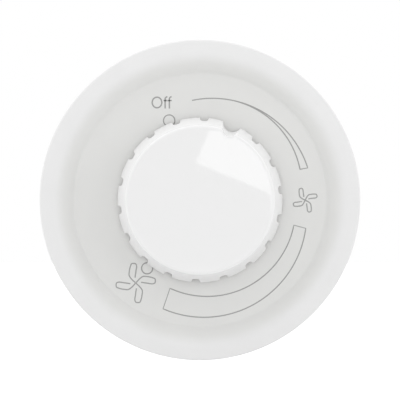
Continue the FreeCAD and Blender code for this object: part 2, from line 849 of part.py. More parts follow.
def triac_screw():
    """The screw that holds the triac on the lug."""
    head = triac_hole(triac_head_radius, triac_front - triac_head_height, triac_head_height)
    shank = triac_hole(triac_screw_radius, triac_front - overlap, lug_outer - triac_front + overlap)
    slit = block(-triac_head_radius, triac_head_radius, triac_front - triac_head_height,
                 triac_front - triac_head_height / 2,
                 triac_hole_level - driver_slot_width / 2, triac_hole_level + driver_slot_width / 2)
    return joined([head, shank]).cut(slit)


def choke_core():
    """The ferrite ring of the choke, which lies behind the board."""
    core = tube(choke_outer_radius, choke_inner_radius, choke_back, choke_front)
    core = core.makeFillet(choke_edge_round, [e for e in core.Edges if e.BoundBox.ZLength < TINY])
    core.translate(FreeCAD.Vector(0, choke_up, 0))
    return core


def choke_winding():
    """The turns of wire round the ferrite ring, and two leads to the board."""
    reach = wire_diameter / 2 + fit_gap / 2
    inner = choke_inner_radius - reach
    outer = choke_outer_radius + reach
    low = choke_back - reach
    high = choke_front + reach
    bend = choke_edge_round + reach
    frame = post(0, (inner + outer) / 2, wire_diameter, outer - inner, low, high)
    side = max(frame.Faces, key=lambda f: f.CenterOfMass.x)
    path = side.OuterWire
    path.translate(FreeCAD.Vector(-wire_diameter / 2, 0, 0))
    corners = Part.Face(path).makeOffset2D(-bend, join=0)
    rounded = corners.makeOffset2D(bend, join=0).OuterWire
    start = rounded.Edges[0]
    circle = Part.Circle(start.valueAt(start.FirstParameter), start.tangentAt(start.FirstParameter),
                         wire_diameter / 2).toShape()
    turn = rounded.makePipeShell([Part.Wire(circle)], True, True)
    turns = [turned(turn, n * 360 / choke_turn_count) for n in range(choke_turn_count)]
    leads = [disc(wire_diameter / 2, high, board_back, 0, y) for y in (outer - bend, -outer + bend)]
    winding = together([*turns, *leads])
    winding.translate(FreeCAD.Vector(0, choke_up, 0))
    return winding


def boxed_part(x, y, width, length, height, lead_run):
    """A boxed part on the board with two leads, run along Y or along X."""
    low = board_front + lead_stand
    box = post(x, y, width, length, low, low + height)
    box = box.makeChamfer(capacitor_edge, [e for e in box.Edges if e.BoundBox.ZMin > low + TINY])
    leads = [disc(lead_radius, board_front, low + overlap, x + side * lead_run[0], y + side * lead_run[1])
             for side in (-1, 1)]
    return joined([box, *leads])


def suppression_capacitor():
    """The boxed capacitor beside the potentiometer."""
    x = -(housing_half - capacitor_wall_gap - capacitor_width / 2)
    return boxed_part(x, 0, capacitor_width, capacitor_length, capacitor_height,
                      (0, capacitor_length / 2 - 2 * capacitor_edge))


def timing_capacitor():
    """The small boxed capacitor that sets the firing delay."""
    return boxed_part(timing_x, timing_inset - board_half, timing_width, timing_length, timing_height,
                      (timing_width / 2 - 2 * capacitor_edge, 0))


def axial_part(x, y, radius, length, pitch):
    """A small part along X just above the board, on one wire that is bent down at both ends."""
    level = board_front + lead_stand + radius
    start = FreeCAD.Vector(x - length / 2, y, level)
    body = Part.makeCylinder(radius, length, start, FreeCAD.Vector(1, 0, 0))
    body = body.makeFillet(radius / 3, [e for e in body.Edges if e.BoundBox.XLength < TINY])
    half = pitch / 2
    bend = 2 * lead_radius
    elbow = bend * (1 - math.sqrt(0.5))
    left, right, shoulder = x - half, x + half, level - bend

    def at(along, height):
        return FreeCAD.Vector(along, y, height)

    path = Part.Wire([
        Part.LineSegment(at(left, board_front), at(left, shoulder)).toShape(),
        Part.Arc(at(left, shoulder), at(left + elbow, level - elbow), at(left + bend, level)).toShape(),
        Part.LineSegment(at(left + bend, level), at(right - bend, level)).toShape(),
        Part.Arc(at(right - bend, level), at(right - elbow, level - elbow), at(right, shoulder)).toShape(),
        Part.LineSegment(at(right, shoulder), at(right, board_front)).toShape(),
    ])
    circle = Part.Wire(Part.Circle(at(left, board_front), Z_AXIS, lead_radius).toShape())
    return joined([body, path.makePipeShell([circle], True, False)])


def resistors():
    """The two resistors."""
    rows = [inset - board_half for inset in resistor_insets]
    return together([axial_part(resistor_x, row, resistor_radius, resistor_length, resistor_pitch)
                     for row in rows])


def trigger_diode():
    """The small diode that fires the triac."""
    return axial_part(resistor_x, diode_inset - board_half, diode_radius, diode_length, diode_pitch)


def fuse_bar(radius, start, length):
    """A bar along the fuse's axis."""
    place = FreeCAD.Vector(fuse_x, start, fuse_level)
    return Part.makeCylinder(radius, length, place, FreeCAD.Vector(0, 1, 0))


def fuse_tube():
    """The fuse's glass tube."""
    start = -fuse_length / 2 + fuse_glass
    length = fuse_length - 2 * fuse_glass
    glass = fuse_bar(fuse_tube_radius, start, length)
    return glass.cut(fuse_bar(fuse_tube_radius - fuse_glass, start, length))


def fuse_wire():
    """The wire inside the fuse, from cap to cap."""
    return fuse_bar(fuse_wire_radius, -fuse_length / 2 + fuse_glass, fuse_length - 2 * fuse_glass)


def fuse_caps():
    """The two metal caps on the fuse's ends."""
    low = -fuse_length / 2
    high = fuse_length / 2 - fuse_cap_length
    caps = []
    for start, hollow in ((low, low + fuse_glass), (high, high - fuse_glass)):
        cap = fuse_bar(fuse_cap_radius, start, fuse_cap_length)
        caps.append(cap.cut(fuse_bar(fuse_tube_radius, hollow, fuse_cap_length)))
    return together(caps)


def fuse_clips():
    """The two spring clips on the board that hold the fuse by its caps."""
    inner = fuse_cap_radius + thread_gap
    outer = inner + fuse_clip_thickness
    clips = []
    for side in (-1, 1):
        y = side * (fuse_length - fuse_cap_length) / 2
        clip = post(fuse_x, y, 2 * outer, fuse_clip_length, board_front, fuse_level + fuse_clip_rise)
        room = post(fuse_x, y, 2 * inner, fuse_clip_length,
                    board_front + fuse_clip_thickness, fuse_level + fuse_clip_rise)
        clips.append(clip.cut(room))
    return together(clips)


# Terminals

def clamp_box(x, gap):
    """The space of one terminal clamp, grown by a gap."""
    return block(x - clamp_width / 2 - gap, x + clamp_width / 2 + gap,
                 clamp_outer - gap, clamp_inner + gap, clamp_back - gap, clamp_front + gap)


def wire_channel(x, start, end, gap):
    """The wire's way into one terminal, grown by a gap."""
    return block(x - wire_bore_width / 2 - gap, x + wire_bore_width / 2 + gap,
                 start, end, wire_bore_back - gap, wire_bore_front + gap)


def terminal_block():
    """The moulded block behind the board that holds the clamps."""
    body = block(-terminal_half, terminal_half, terminal_outer, terminal_inner, terminal_back, board_back)
    screw_row = (clamp_outer + clamp_inner) / 2
    cutters = []
    for x in terminal_xs:
        cutters.append(clamp_box(x, fit_gap))
        cutters.append(post(x, screw_row, clamp_width + 2 * fit_gap, clamp_depth + 2 * fit_gap,
                            clamp_front, board_back))
        cutters.append(wire_channel(x, terminal_outer, clamp_outer, fit_gap))
        cutters.append(disc(driver_radius, terminal_back, clamp_back, x, screw_row))
    return body.cut(cutters)


def terminal_clamps():
    """The brass cages that the wires are clamped in, each with a pin to the board."""
    screw_row = (clamp_outer + clamp_inner) / 2
    clamps = []
    for x in terminal_xs:
        cage = joined([clamp_box(x, 0), post(x, screw_row, pin_width, pin_width, clamp_front, board_back)])
        tapped_hole = disc(clamp_screw_radius + thread_gap, clamp_back, wire_bore_back, x, screw_row)
        clamps.append(cage.cut([wire_channel(x, clamp_outer, clamp_inner, 0), tapped_hole]))
    return together(clamps)


def terminal_screws():
    """The slotted screws that close the clamps, reached through the housing's back."""
    screw_row = (clamp_outer + clamp_inner) / 2
    head_front = clamp_back - clamp_head_stand
    head_back = head_front - clamp_head_height
    screw_tip = (wire_bore_front + wire_bore_back) / 2
    screws = []
    for x in terminal_xs:
        head = disc(clamp_head_radius, head_back, head_front, x, screw_row)
        shank = disc(clamp_screw_radius, head_front - overlap, screw_tip, x, screw_row)
        slit = post(x, screw_row, 2 * clamp_head_radius, driver_slot_width,
                    head_back, head_back + driver_slot_depth)
        screws.append(joined([head, shank]).cut(slit))
    return together(screws)


def stand_up(shape):
    """The piece turned from the bench to the wall: Z up and Y into the wall."""
    upright = shape.copy()
    upright.rotate(ORIGIN, FreeCAD.Vector(1, 0, 0), 90)
    return upright


PIECES = (
    cover_plate, cover_nut, knob, knob_spring_ring,
    shaft, shaft_circlip, threaded_bush, bush_nut, lock_washer,
    mounting_ring, heat_sink_plate, insert_lid, rear_housing, housing_screws,
    pot_case, resistor_track, wiper_carrier, wiper, switch_ring, switch_contacts, pot_pins,
    circuit_board, triac, triac_pad, triac_screw, choke_core, choke_winding,
    suppression_capacitor, timing_capacitor, resistors, trigger_diode,
    fuse_tube, fuse_wire, fuse_caps, fuse_clips,
    terminal_block, terminal_clamps, terminal_screws,
)

os.makedirs("parts", exist_ok=True)
for piece in PIECES:
    stand_up(piece()).exportStep(f"parts/{piece.__name__}.step")
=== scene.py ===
"""Looks of a fan speed control switch: a dial knob on a dished cover, over a flush insert.

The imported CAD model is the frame, and every piece here sits in it. Sizes are in millimetres, but
for the studio's, which are in metres. Dial angles are in degrees, clockwise from the top as seen
from the front, and heights run from the wall's face towards the viewer.
"""

import bpy
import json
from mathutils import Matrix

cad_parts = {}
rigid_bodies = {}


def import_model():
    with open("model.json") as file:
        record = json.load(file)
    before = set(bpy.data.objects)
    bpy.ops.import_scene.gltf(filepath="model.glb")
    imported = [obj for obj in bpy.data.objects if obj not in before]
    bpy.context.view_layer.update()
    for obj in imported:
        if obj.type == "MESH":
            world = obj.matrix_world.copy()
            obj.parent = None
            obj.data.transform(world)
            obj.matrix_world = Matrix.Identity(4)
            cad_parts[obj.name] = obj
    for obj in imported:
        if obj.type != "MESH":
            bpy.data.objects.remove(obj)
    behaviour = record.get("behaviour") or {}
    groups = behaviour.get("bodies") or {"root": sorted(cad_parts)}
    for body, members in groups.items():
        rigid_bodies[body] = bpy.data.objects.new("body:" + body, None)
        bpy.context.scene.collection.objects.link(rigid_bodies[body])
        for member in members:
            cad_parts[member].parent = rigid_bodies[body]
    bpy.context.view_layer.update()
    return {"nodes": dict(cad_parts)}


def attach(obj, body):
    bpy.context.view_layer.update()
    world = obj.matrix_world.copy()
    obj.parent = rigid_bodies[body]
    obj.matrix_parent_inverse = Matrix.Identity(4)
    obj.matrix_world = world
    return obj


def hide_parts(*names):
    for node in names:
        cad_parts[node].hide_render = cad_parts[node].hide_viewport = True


for leftover in list(bpy.data.objects):
    bpy.data.objects.remove(leftover)
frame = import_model()

import functools
import json
import logging
import math
from dataclasses import dataclass, field
from enum import Enum
from typing import Any, Iterable, Protocol, Sequence

import bmesh
import numpy as np
from mathutils import Matrix, Vector

log = logging.getLogger("fan_control")

MM = 0.001
FULL_TURN = 360.0
WELD_MM = 0.0005
SPECK_MM = 0.00005
FAR_MM = 1e3
SMOOTH_BELOW = math.radians(35.0)
WIRE_SIDES = 10
AXIS_MIDDLE = (0.0, 0.0, 0.0)
ACROSS_AXIS = (1.0, 0.0, 1.0)
WHITE = (1.0, 1.0, 1.0, 1.0)
BOX_FACES = ((0, 1, 3, 2), (4, 6, 7, 5), (0, 4, 5, 1), (1, 5, 7, 3), (3, 7, 6, 2), (2, 6, 4, 0))

Colour = tuple[float, float, float]
Point = tuple[float, float]
Node = bpy.types.Node
Piece = bpy.types.Object
Socket = bpy.types.NodeSocket
Tree = bpy.types.NodeTree


class Body(Enum):
    """The CAD bodies that pieces ride on."""

    BASE = "base"
    ROTOR = "rotor"


class Grain(Enum):
    """The way that the drawn lines of a metal run, as stretch factors along X, Y and Z."""

    ACROSS = (0.04, 1.0, 1.0)
    UPRIGHT = (1.0, 1.0, 0.04)
    ROUND_THE_AXIS = (0.3, 1.0, 0.3)
    SPECKLED = (1.0, 1.0, 1.0)


class Kind(Enum):
    """The kinds of value that a node tree takes in and puts out."""

    FLOAT = "NodeSocketFloat"
    INT = "NodeSocketInt"
    VECTOR = "NodeSocketVector"
    GEOMETRY = "NodeSocketGeometry"
    MATERIAL = "NodeSocketMaterial"


class Wiring:
    """A node tree under construction, with short calls to add, set and join its nodes."""

    def __init__(self, tree: Tree) -> None:
        """Takes the tree to build in."""
        self.tree = tree

    @staticmethod
    def socket(sockets: Any, key: str | int) -> Socket:
        """Finds a socket of a node.

        Args:
            sockets: the node's inputs or outputs.
            key: the socket's place, or its name among those in use.

        Returns:
            The socket.
        """
        if isinstance(key, int):
            return sockets[key]
        return next(s for s in sockets if s.name == key and s.enabled)

    def feed(self, socket: Socket, value: Any) -> None:
        """Joins another socket to an input, or sets a plain value on it.

        Args:
            socket: the input.
            value: another node's output, or a plain value.
        """
        if isinstance(value, Socket):
            self.tree.links.new(value, socket)
        else:
            socket.default_value = value

    def add(self, kind: str, inputs: dict[str | int, Any] | None = None, **settings: Any) -> Node:
        """Adds a node.

        Args:
            kind: Blender's name for the node type.
            inputs: what each input socket gets, a value or another node's socket.
            settings: the node's own options.

        Returns:
            The new node.
        """
        node = self.tree.nodes.new(kind)
        for name, value in settings.items():
            setattr(node, name, value)
        for key, value in (inputs or {}).items():
            self.feed(self.socket(node.inputs, key), value)
        return node

    def math(self, operation: str, *values: Any) -> Socket:
        """The result of a math node on one, two or three values."""
        return self.add("ShaderNodeMath", dict(enumerate(values)), operation=operation).outputs[0]

    def span(self, value: Any, low: float, high: float) -> Socket:
        """A value from 0 to 1 carried to the span from low to high."""
        return self.add("ShaderNodeMapRange", {"Value": value, "To Min": low, "To Max": high}).outputs[0]

    def rise(self, value: Any, start: float, end: float) -> Socket:
        """A mask that rises smoothly from 0 at one value to 1 at another."""
        return self.add("ShaderNodeMapRange", {"Value": value, "From Min": start, "From Max": end},
                        interpolation_type="SMOOTHSTEP").outputs[0]

    def noise(self, place: Socket, scale: Any, detail: float = 2.0, roughness: float = 0.5) -> Socket:
        """A cloudy value between 0 and 1."""
        return self.add("ShaderNodeTexNoise", {"Vector": place, "Scale": scale, "Detail": detail,
                                               "Roughness": roughness}).outputs[0]

    def place(self) -> Socket:
        """The place on a piece, in the piece's own coordinates."""
        return self.add("ShaderNodeTexCoord").outputs["Object"]

    def part(self, vector: Socket, axis: str) -> Socket:
        """The part of a vector along X, Y or Z."""
        return self.add("ShaderNodeSeparateXYZ", {0: vector}).outputs[axis]

    def blend(self, factor: Socket, first: Any, second: Any) -> Socket:
        """A colour between two colours.

        Args:
            factor: a share of the second colour that changes over the surface.
            first: a plain colour, or a socket that gives one.
            second: the other colour.

        Returns:
            The socket of the mixed colour.
        """
        node = self.add("ShaderNodeMix", data_type="RGBA")
        for key, value in (("Factor", factor), ("A", first), ("B", second)):
            whole = (*value, 1.0) if isinstance(value, tuple) else value
            self.feed(self.socket(node.inputs, key), whole)
        return self.socket(node.outputs, "Result")


def new_tree(name: str, sort: str, inputs: dict[str, Kind], outputs: dict[str, Kind]) -> tuple[Wiring, Node]:
    """Starts a node tree with named inputs and outputs.

    Args:
        name: the tree's name.
        sort: Blender's name for the sort of tree.
        inputs: the kinds of the inputs, by name.
        outputs: the kinds of the outputs, by name.

    Returns:
        The wiring of the tree, and the node that gives its inputs.
    """
    tree = bpy.data.node_groups.new(name, sort)
    for side, sockets in (("INPUT", inputs), ("OUTPUT", outputs)):
        for label, kind in sockets.items():
            tree.interface.new_socket(name=label, in_out=side, socket_type=kind.value)
    wiring = Wiring(tree)
    return wiring, wiring.add("NodeGroupInput")


def emptied(owner: bpy.types.World | bpy.types.Material) -> Wiring:
    """Clears the node tree of a world or a material.

    Args:
        owner: the new world or material.

    Returns:
        The wiring of its empty tree.
    """
    owner.use_nodes = True
    owner.node_tree.nodes.clear()
    return Wiring(owner.node_tree)


# Effects that several finishes share, where a slow pattern's scale is a share of the fine one's

DRIFT_SCALE = 0.03
DRIFT_SHARE = 0.6
CLOUD_SCALE = 0.05
CLOUD_SHARE = 0.5
PATCH_SCALE = 0.11


@functools.cache
def moulded_grain() -> Tree:
    """The fine spark-eroded grain of a moulding, and a slow drift of its tone.

    Returns:
        The node group.
    """
    wiring, given = new_tree("moulded_grain", "ShaderNodeTree", {"Scale": Kind.FLOAT},
                             {"Height": Kind.FLOAT, "Tone": Kind.FLOAT})
    scale = given.outputs["Scale"]
    place = wiring.place()
    fine = wiring.noise(place, scale, detail=3.0, roughness=0.6)
    slow = wiring.noise(place, wiring.math("MULTIPLY", scale, DRIFT_SCALE))
    tone = wiring.math("ADD", wiring.math("MULTIPLY", slow, DRIFT_SHARE),
                       wiring.math("MULTIPLY", fine, 1 - DRIFT_SHARE))
    wiring.add("NodeGroupOutput", {"Height": fine, "Tone": tone})
    return wiring.tree


@functools.cache
def drawn_lines() -> Tree:
    """Fine lines along the way that a metal was rolled, drawn or turned.

    Returns:
        The node group.
    """
    wiring, given = new_tree("drawn_lines", "ShaderNodeTree", {"Scale": Kind.FLOAT, "Stretch": Kind.VECTOR},
                             {"Height": Kind.FLOAT, "Streak": Kind.FLOAT})
    scale = given.outputs["Scale"]
    place = wiring.place()
    along = wiring.add("ShaderNodeVectorMath", {0: place, 1: given.outputs["Stretch"]}, operation="MULTIPLY")
    lines = wiring.noise(along.outputs[0], scale, detail=4.0, roughness=0.65)
    cloud = wiring.noise(place, wiring.math("MULTIPLY", scale, CLOUD_SCALE), detail=3.0)
    streak = wiring.math("MULTIPLY", wiring.math("ADD", lines, cloud), CLOUD_SHARE)
    wiring.add("NodeGroupOutput", {"Height": lines, "Streak": streak})
    return wiring.tree


@functools.cache
def dust_flecks() -> Tree:
    """Sparse small flecks, as of dust or filler at a surface.

    Returns:
        The node group.
    """
    wiring, given = new_tree("dust_flecks", "ShaderNodeTree", {"Scale": Kind.FLOAT, "Size": Kind.FLOAT},
                             {"Mask": Kind.FLOAT})
    scale = given.outputs["Scale"]
    place = wiring.place()
    cells = wiring.add("ShaderNodeTexVoronoi", {"Vector": place, "Scale": scale})
    near = wiring.add("ShaderNodeMapRange", {"Value": cells.outputs["Distance"],
                                             "From Max": given.outputs["Size"],
                                             "To Min": 1.0, "To Max": 0.0})
    patch = wiring.noise(place, wiring.math("MULTIPLY", scale, PATCH_SCALE))
    wiring.add("NodeGroupOutput", {"Mask": wiring.math("MULTIPLY", near.outputs[0], patch)})
    return wiring.tree


# Finishes

class Paint(Wiring):
    """The nodes of a new material, round its one shader."""

    def __init__(self, material: bpy.types.Material) -> None:
        """Takes a new material.

        Args:
            material: the material to dress.
        """
        material.use_nodes = True
        super().__init__(material.node_tree)
        self.shader = material.node_tree.nodes["Principled BSDF"]

    def give(self, inputs: dict[str, Any]) -> None:
        """Feeds inputs of the shader, by name."""
        for name, value in inputs.items():
            self.feed(self.shader.inputs[name], value)

    def effect(self, tree: Tree, size: float, **values: Any) -> Node:
        """Places a shared effect in the material.

        Args:
            tree: the effect's node group.
            size: the size of its pattern.
            values: its other inputs, by name.

        Returns:
            The node of the group.
        """
        node = self.add("ShaderNodeGroup", node_tree=tree)
        for name, value in {"Scale": 1 / (size * MM), **values}.items():
            node.inputs[name].default_value = value
        return node

    def roughen(self, tone: Socket, middle: float, spread: float) -> None:
        """Lets the roughness swing about a middle value with a tone."""
        self.give({"Roughness": self.span(tone, middle - spread, middle + spread)})

    def emboss(self, height: Socket, depth: float) -> None:
        """Raises the surface with a height, through a bump of a depth."""
        bump = self.add("ShaderNodeBump", {"Height": height, "Distance": depth * MM})
        self.give({"Normal": bump.outputs[0]})


class Finish(Protocol):
    """What every finish can do."""

    name: str

    def dress(self, paint: Paint) -> None:
        """Feeds the shader of a new material."""


@functools.cache
def material_of(finish: Finish) -> bpy.types.Material:
    """The material of a finish, made once.

    Args:
        finish: the finish, whose name the material takes.

    Returns:
        The material, with its shader fed by the finish.
    """
    material = bpy.data.materials.new(finish.name)
    finish.dress(Paint(material))
    return material


def deeper(colour: Colour, share: float) -> Colour:
    """A colour made darker by a share."""
    return tuple((1 - share) * part for part in colour)


@dataclass(frozen=True)
class MouldedPlastic:
    """A moulded plastic: its tone drifts slowly and its skin has a fine grain."""

    name: str
    colour: Colour
    shade: Colour
    roughness: float = 0.5
    rough_spread: float = 0.06
    grain_size: float = 0.25
    grain_depth: float = 0.006
    fleck: Colour | None = None
    fleck_pitch: float = 1.2
    fleck_size: float = 0.16

    def dress(self, paint: Paint) -> None:
        """Feeds the shader with the drifting tone, the flecks and the grain.

        Args:
            paint: the nodes of the material.
        """
        grain = paint.effect(moulded_grain(), self.grain_size)
        colour = paint.blend(grain.outputs["Tone"], self.colour, self.shade)
        if self.fleck:
            flecks = paint.effect(dust_flecks(), self.fleck_pitch, Size=self.fleck_size)
            colour = paint.blend(flecks.outputs["Mask"], colour, self.fleck)
        paint.give({"Base Color": colour})
        paint.roughen(grain.outputs["Tone"], self.roughness, self.rough_spread)
        paint.emboss(grain.outputs["Height"], self.grain_depth)


@dataclass(frozen=True)
class DishedCover:
    """The cover's moulded white: a matte grained dish, darker as painted shade, inside a smoother rim."""

    name: str
    # The dish's colour is darker than the rim's as painted shade for the dish's depth.
    rim: Colour
    dish: Colour
    dish_radius: float
    rim_radius: float
    drift: float = 0.06
    gloss: float = 0.2
    rim_roughness: float = 0.4
    dish_roughness: float = 0.55
    grain_size: float = 0.22
    grain_depth: float = 0.012

    def dress(self, paint: Paint) -> None:
        """Feeds the shader with the tones of dish and rim, by the distance from the dial's axis.

        Args:
            paint: the nodes of the material.
        """
        flat = paint.add("ShaderNodeVectorMath", {0: paint.place(), 1: ACROSS_AXIS}, operation="MULTIPLY")
        reach = paint.add("ShaderNodeVectorMath", {0: flat.outputs[0]}, operation="LENGTH")
        outside = paint.rise(reach.outputs["Value"], self.dish_radius * MM, self.rim_radius * MM)
        grain = paint.effect(moulded_grain(), self.grain_size)
        white = paint.blend(grain.outputs["Tone"], self.rim, deeper(self.rim, self.drift))
        # The dish's darker colour is painted shade for its depth. Its higher roughness is the dish's own
        # matte grain.
        shaded_dish = paint.blend(grain.outputs["Tone"], self.dish, deeper(self.dish, self.drift))
        paint.give({"Base Color": paint.blend(outside, shaded_dish, white),
                    "Roughness": paint.span(outside, self.dish_roughness, self.rim_roughness),
                    "Specular IOR Level": self.gloss})
        paint.emboss(grain.outputs["Height"], self.grain_depth)


@dataclass(frozen=True)
class PolishedCap:
    """A knob's moulded white: satin sides under a polished front."""

    name: str
    colour: Colour
    shade: Colour
    satin_level: float
    polish_level: float
    polish_roughness: float = 0.016
    roughness: float = 0.45
    gloss: float = 0.2
    grain_size: float = 2.5
    grain_depth: float = 0.0004

    def dress(self, paint: Paint) -> None:
        """Feeds the shader with the drifting tone, and with a coat that lies on the front alone.

        Args:
            paint: the nodes of the material.
        """
        height = paint.math("MULTIPLY", paint.part(paint.place(), "Y"), -1.0)
        grain = paint.effect(moulded_grain(), self.grain_size)
        paint.give({"Base Color": paint.blend(grain.outputs["Tone"], self.colour, self.shade),
                    "Coat Weight": paint.rise(height, self.satin_level * MM, self.polish_level * MM),
                    "Coat Roughness": self.polish_roughness, "Roughness": self.roughness,
                    "Specular IOR Level": self.gloss})
        paint.emboss(grain.outputs["Height"], self.grain_depth)


@dataclass(frozen=True)
class BareMetal:
    """A metal with the lines of its rolling or turning, and a tint that clouds its plating."""

    name: str
    colour: Colour
    tint: Colour
    grain: Grain
    roughness: float = 0.3
    rough_spread: float = 0.1
    line_size: float = 0.2
    line_depth: float = 0.003

    def dress(self, paint: Paint) -> None:
        """Feeds the shader with the clouded colour and the lines.

        Args:
            paint: the nodes of the material.
        """
        lines = paint.effect(drawn_lines(), self.line_size, Stretch=self.grain.value)
        streak = lines.outputs["Streak"]
        paint.give({"Base Color": paint.blend(streak, self.colour, self.tint), "Metallic": 1.0})
        paint.roughen(streak, self.roughness, self.rough_spread)
        paint.emboss(lines.outputs["Height"], self.line_depth)


@dataclass(frozen=True)
class ClearGlass:
    """The drawn glass of the fuse's tube, with faint draw lines."""

    name: str = "drawn_glass"
    colour: Colour = (0.95, 0.97, 0.97)
    refraction: float = 1.47
    roughness: float = 0.03
    line_size: float = 0.5
    line_depth: float = 0.001

    def dress(self, paint: Paint) -> None:
        """Feeds the shader of a clear glass.

        Args:
            paint: the nodes of the material.
        """
        lines = paint.effect(drawn_lines(), self.line_size, Stretch=Grain.UPRIGHT.value)
        paint.give({"Base Color": (*self.colour, 1.0), "Roughness": self.roughness,
                    "IOR": self.refraction, "Transmission Weight": 1.0})
        paint.emboss(lines.outputs["Height"], self.line_depth)


@dataclass(frozen=True)
class SolderMask:
    """The board's green mask over copper tracks that stand slightly proud."""

    name: str = "solder_mask"
    mask: Colour = (0.02, 0.14, 0.06)
    track: Colour = (0.05, 0.26, 0.1)
    track_pitch: float = 3.2
    track_jitter: float = 0.6
    track_low: float = 0.3
    track_high: float = 0.42
    roughness: float = 0.28
    rough_spread: float = 0.05
    copper: float = 0.03
    weave_size: float = 0.6

    def dress(self, paint: Paint) -> None:
        """Feeds the shader with the tracks' pattern and the cloth's weave under the mask.

        Args:
            paint: the nodes of the material.
        """
        cells = paint.add("ShaderNodeTexVoronoi", {
            "Vector": paint.place(), "Scale": 1 / (self.track_pitch * MM),
            "Randomness": self.track_jitter}, distance="MANHATTAN")
        above = paint.math("GREATER_THAN", cells.outputs["Distance"], self.track_low)
        below = paint.math("LESS_THAN", cells.outputs["Distance"], self.track_high)
        track = paint.math("MULTIPLY", above, below)
        grain = paint.effect(moulded_grain(), self.weave_size)
        paint.give({"Base Color": paint.blend(track, self.mask, self.track)})
        paint.roughen(grain.outputs["Tone"], self.roughness, self.rough_spread)
        paint.emboss(track, self.copper)


@dataclass(frozen=True)
class BandedBody:
    """A small part that lies along X: a lacquered body with colour bands, and tinned leads."""

    name: str
    body: Colour
    middle: float
    half_length: float
    bands: tuple[tuple[float, Colour], ...]
    band_half: float = 0.32
    drift: float = 0.15
    lead: Colour = (0.7, 0.7, 0.69)
    roughness: float = 0.3
    rough_spread: float = 0.08
    grain_size: float = 0.4
    grain_depth: float = 0.004

    def dress(self, paint: Paint) -> None:
        """Feeds the shader with bands and leads by the place along the part.

        Args:
            paint: the nodes of the material.
        """
        along = paint.part(paint.place(), "X")
        grain = paint.effect(moulded_grain(), self.grain_size)
        colour = paint.blend(grain.outputs["Tone"], self.body, deeper(self.body, self.drift))
        for offset, band in self.bands:
            near = paint.math("COMPARE", along, (self.middle + offset) * MM, self.band_half * MM)
            colour = paint.blend(near, colour, band)
        on_body = paint.math("COMPARE", along, self.middle * MM, self.half_length * MM)
        paint.give({"Base Color": paint.blend(on_body, self.lead, colour),
                    "Metallic": paint.math("SUBTRACT", 1.0, on_body)})
        paint.roughen(grain.outputs["Tone"], self.roughness, self.rough_spread)
        paint.emboss(grain.outputs["Height"], self.grain_depth)


# The second colour, the dish's, is darker than the rim's as painted shade for the dish's depth.
COVER_WHITE = DishedCover("cover_white", (0.86, 0.86, 0.86), (0.795, 0.795, 0.782), dish_radius=33.5,
                          rim_radius=36.6)
KNOB_WHITE = PolishedCap("knob_white", (0.872, 0.872, 0.872), (0.852, 0.852, 0.852), satin_level=20.3,
                         polish_level=20.6)
MARK_WHITE = MouldedPlastic("mark_white", (0.62, 0.62, 0.61), (0.56, 0.56, 0.55), roughness=0.6,
                            grain_size=0.2, grain_depth=0.004)
DIAL_INK = MouldedPlastic("dial_ink", (0.33, 0.33, 0.325), (0.37, 0.37, 0.365), roughness=0.6,
                          grain_size=0.12, grain_depth=0.004)
HOUSING_BLACK = MouldedPlastic("housing_black", (0.042, 0.043, 0.047), (0.058, 0.059, 0.063),
                               roughness=0.52, grain_size=0.3, grain_depth=0.02,
                               fleck=(0.11, 0.11, 0.11), fleck_pitch=0.9, fleck_size=0.12)
PHENOLIC_BLACK = MouldedPlastic("phenolic_black", (0.026, 0.026, 0.028), (0.04, 0.038, 0.037),
                                roughness=0.4, grain_size=0.4, grain_depth=0.008)
ACETAL = MouldedPlastic("natural_acetal", (0.72, 0.71, 0.66), (0.66, 0.65, 0.6), roughness=0.35,
                        grain_size=0.8, grain_depth=0.004)
TRACK_PAPER = MouldedPlastic("carbon_track", (0.15, 0.085, 0.045), (0.05, 0.04, 0.035), roughness=0.5,
                             grain_size=0.5, grain_depth=0.006)
PAD_RUBBER = MouldedPlastic("silicone_pad", (0.5, 0.5, 0.52), (0.42, 0.42, 0.45), roughness=0.75,
                            grain_size=0.3, grain_depth=0.012, fleck=(0.62, 0.62, 0.64))
FERRITE = MouldedPlastic("sintered_ferrite", (0.055, 0.055, 0.06), (0.085, 0.083, 0.082), roughness=0.66,
                         grain_size=0.35, grain_depth=0.02, fleck=(0.16, 0.16, 0.165), fleck_pitch=0.6)
CAPACITOR_YELLOW = MouldedPlastic("capacitor_yellow", (0.72, 0.51, 0.06), (0.64, 0.44, 0.045),
                                  roughness=0.28, grain_size=0.7, grain_depth=0.004)
FILM_RED = MouldedPlastic("film_red", (0.36, 0.055, 0.035), (0.29, 0.04, 0.028), roughness=0.22,
                          grain_size=0.7, grain_depth=0.004)
TERMINAL_GREY = MouldedPlastic("terminal_grey", (0.6, 0.6, 0.57), (0.53, 0.53, 0.5), roughness=0.45,
                               grain_size=0.4, grain_depth=0.008)
PLATED_BRASS = BareMetal("brass_plating", (0.76, 0.69, 0.54), (0.66, 0.58, 0.4), Grain.ROUND_THE_AXIS)
ZINC_SHEET = BareMetal("zinc_sheet", (0.64, 0.65, 0.67), (0.52, 0.54, 0.55), Grain.UPRIGHT,
                       roughness=0.36, line_size=0.3, line_depth=0.004)
ZINC_SCREW = BareMetal("zinc_screw", (0.66, 0.67, 0.69), (0.55, 0.56, 0.56), Grain.SPECKLED)
SPRING_STEEL = BareMetal("blued_steel", (0.3, 0.31, 0.34), (0.2, 0.2, 0.23), Grain.ROUND_THE_AXIS)
SHEET_ALUMINIUM = BareMetal("rolled_aluminium", (0.78, 0.79, 0.8), (0.68, 0.69, 0.7), Grain.ACROSS,
                            roughness=0.34, line_size=0.25, line_depth=0.004)
TURNED_ALUMINIUM = BareMetal("turned_aluminium", (0.8, 0.8, 0.81), (0.7, 0.7, 0.72), Grain.ROUND_THE_AXIS,
                             roughness=0.26)
CONTACT_BRONZE = BareMetal("bronze_strip", (0.74, 0.48, 0.26), (0.6, 0.36, 0.18), Grain.ACROSS)
TINNED = BareMetal("tin_plating", (0.72, 0.72, 0.71), (0.6, 0.6, 0.6), Grain.SPECKLED, roughness=0.38)
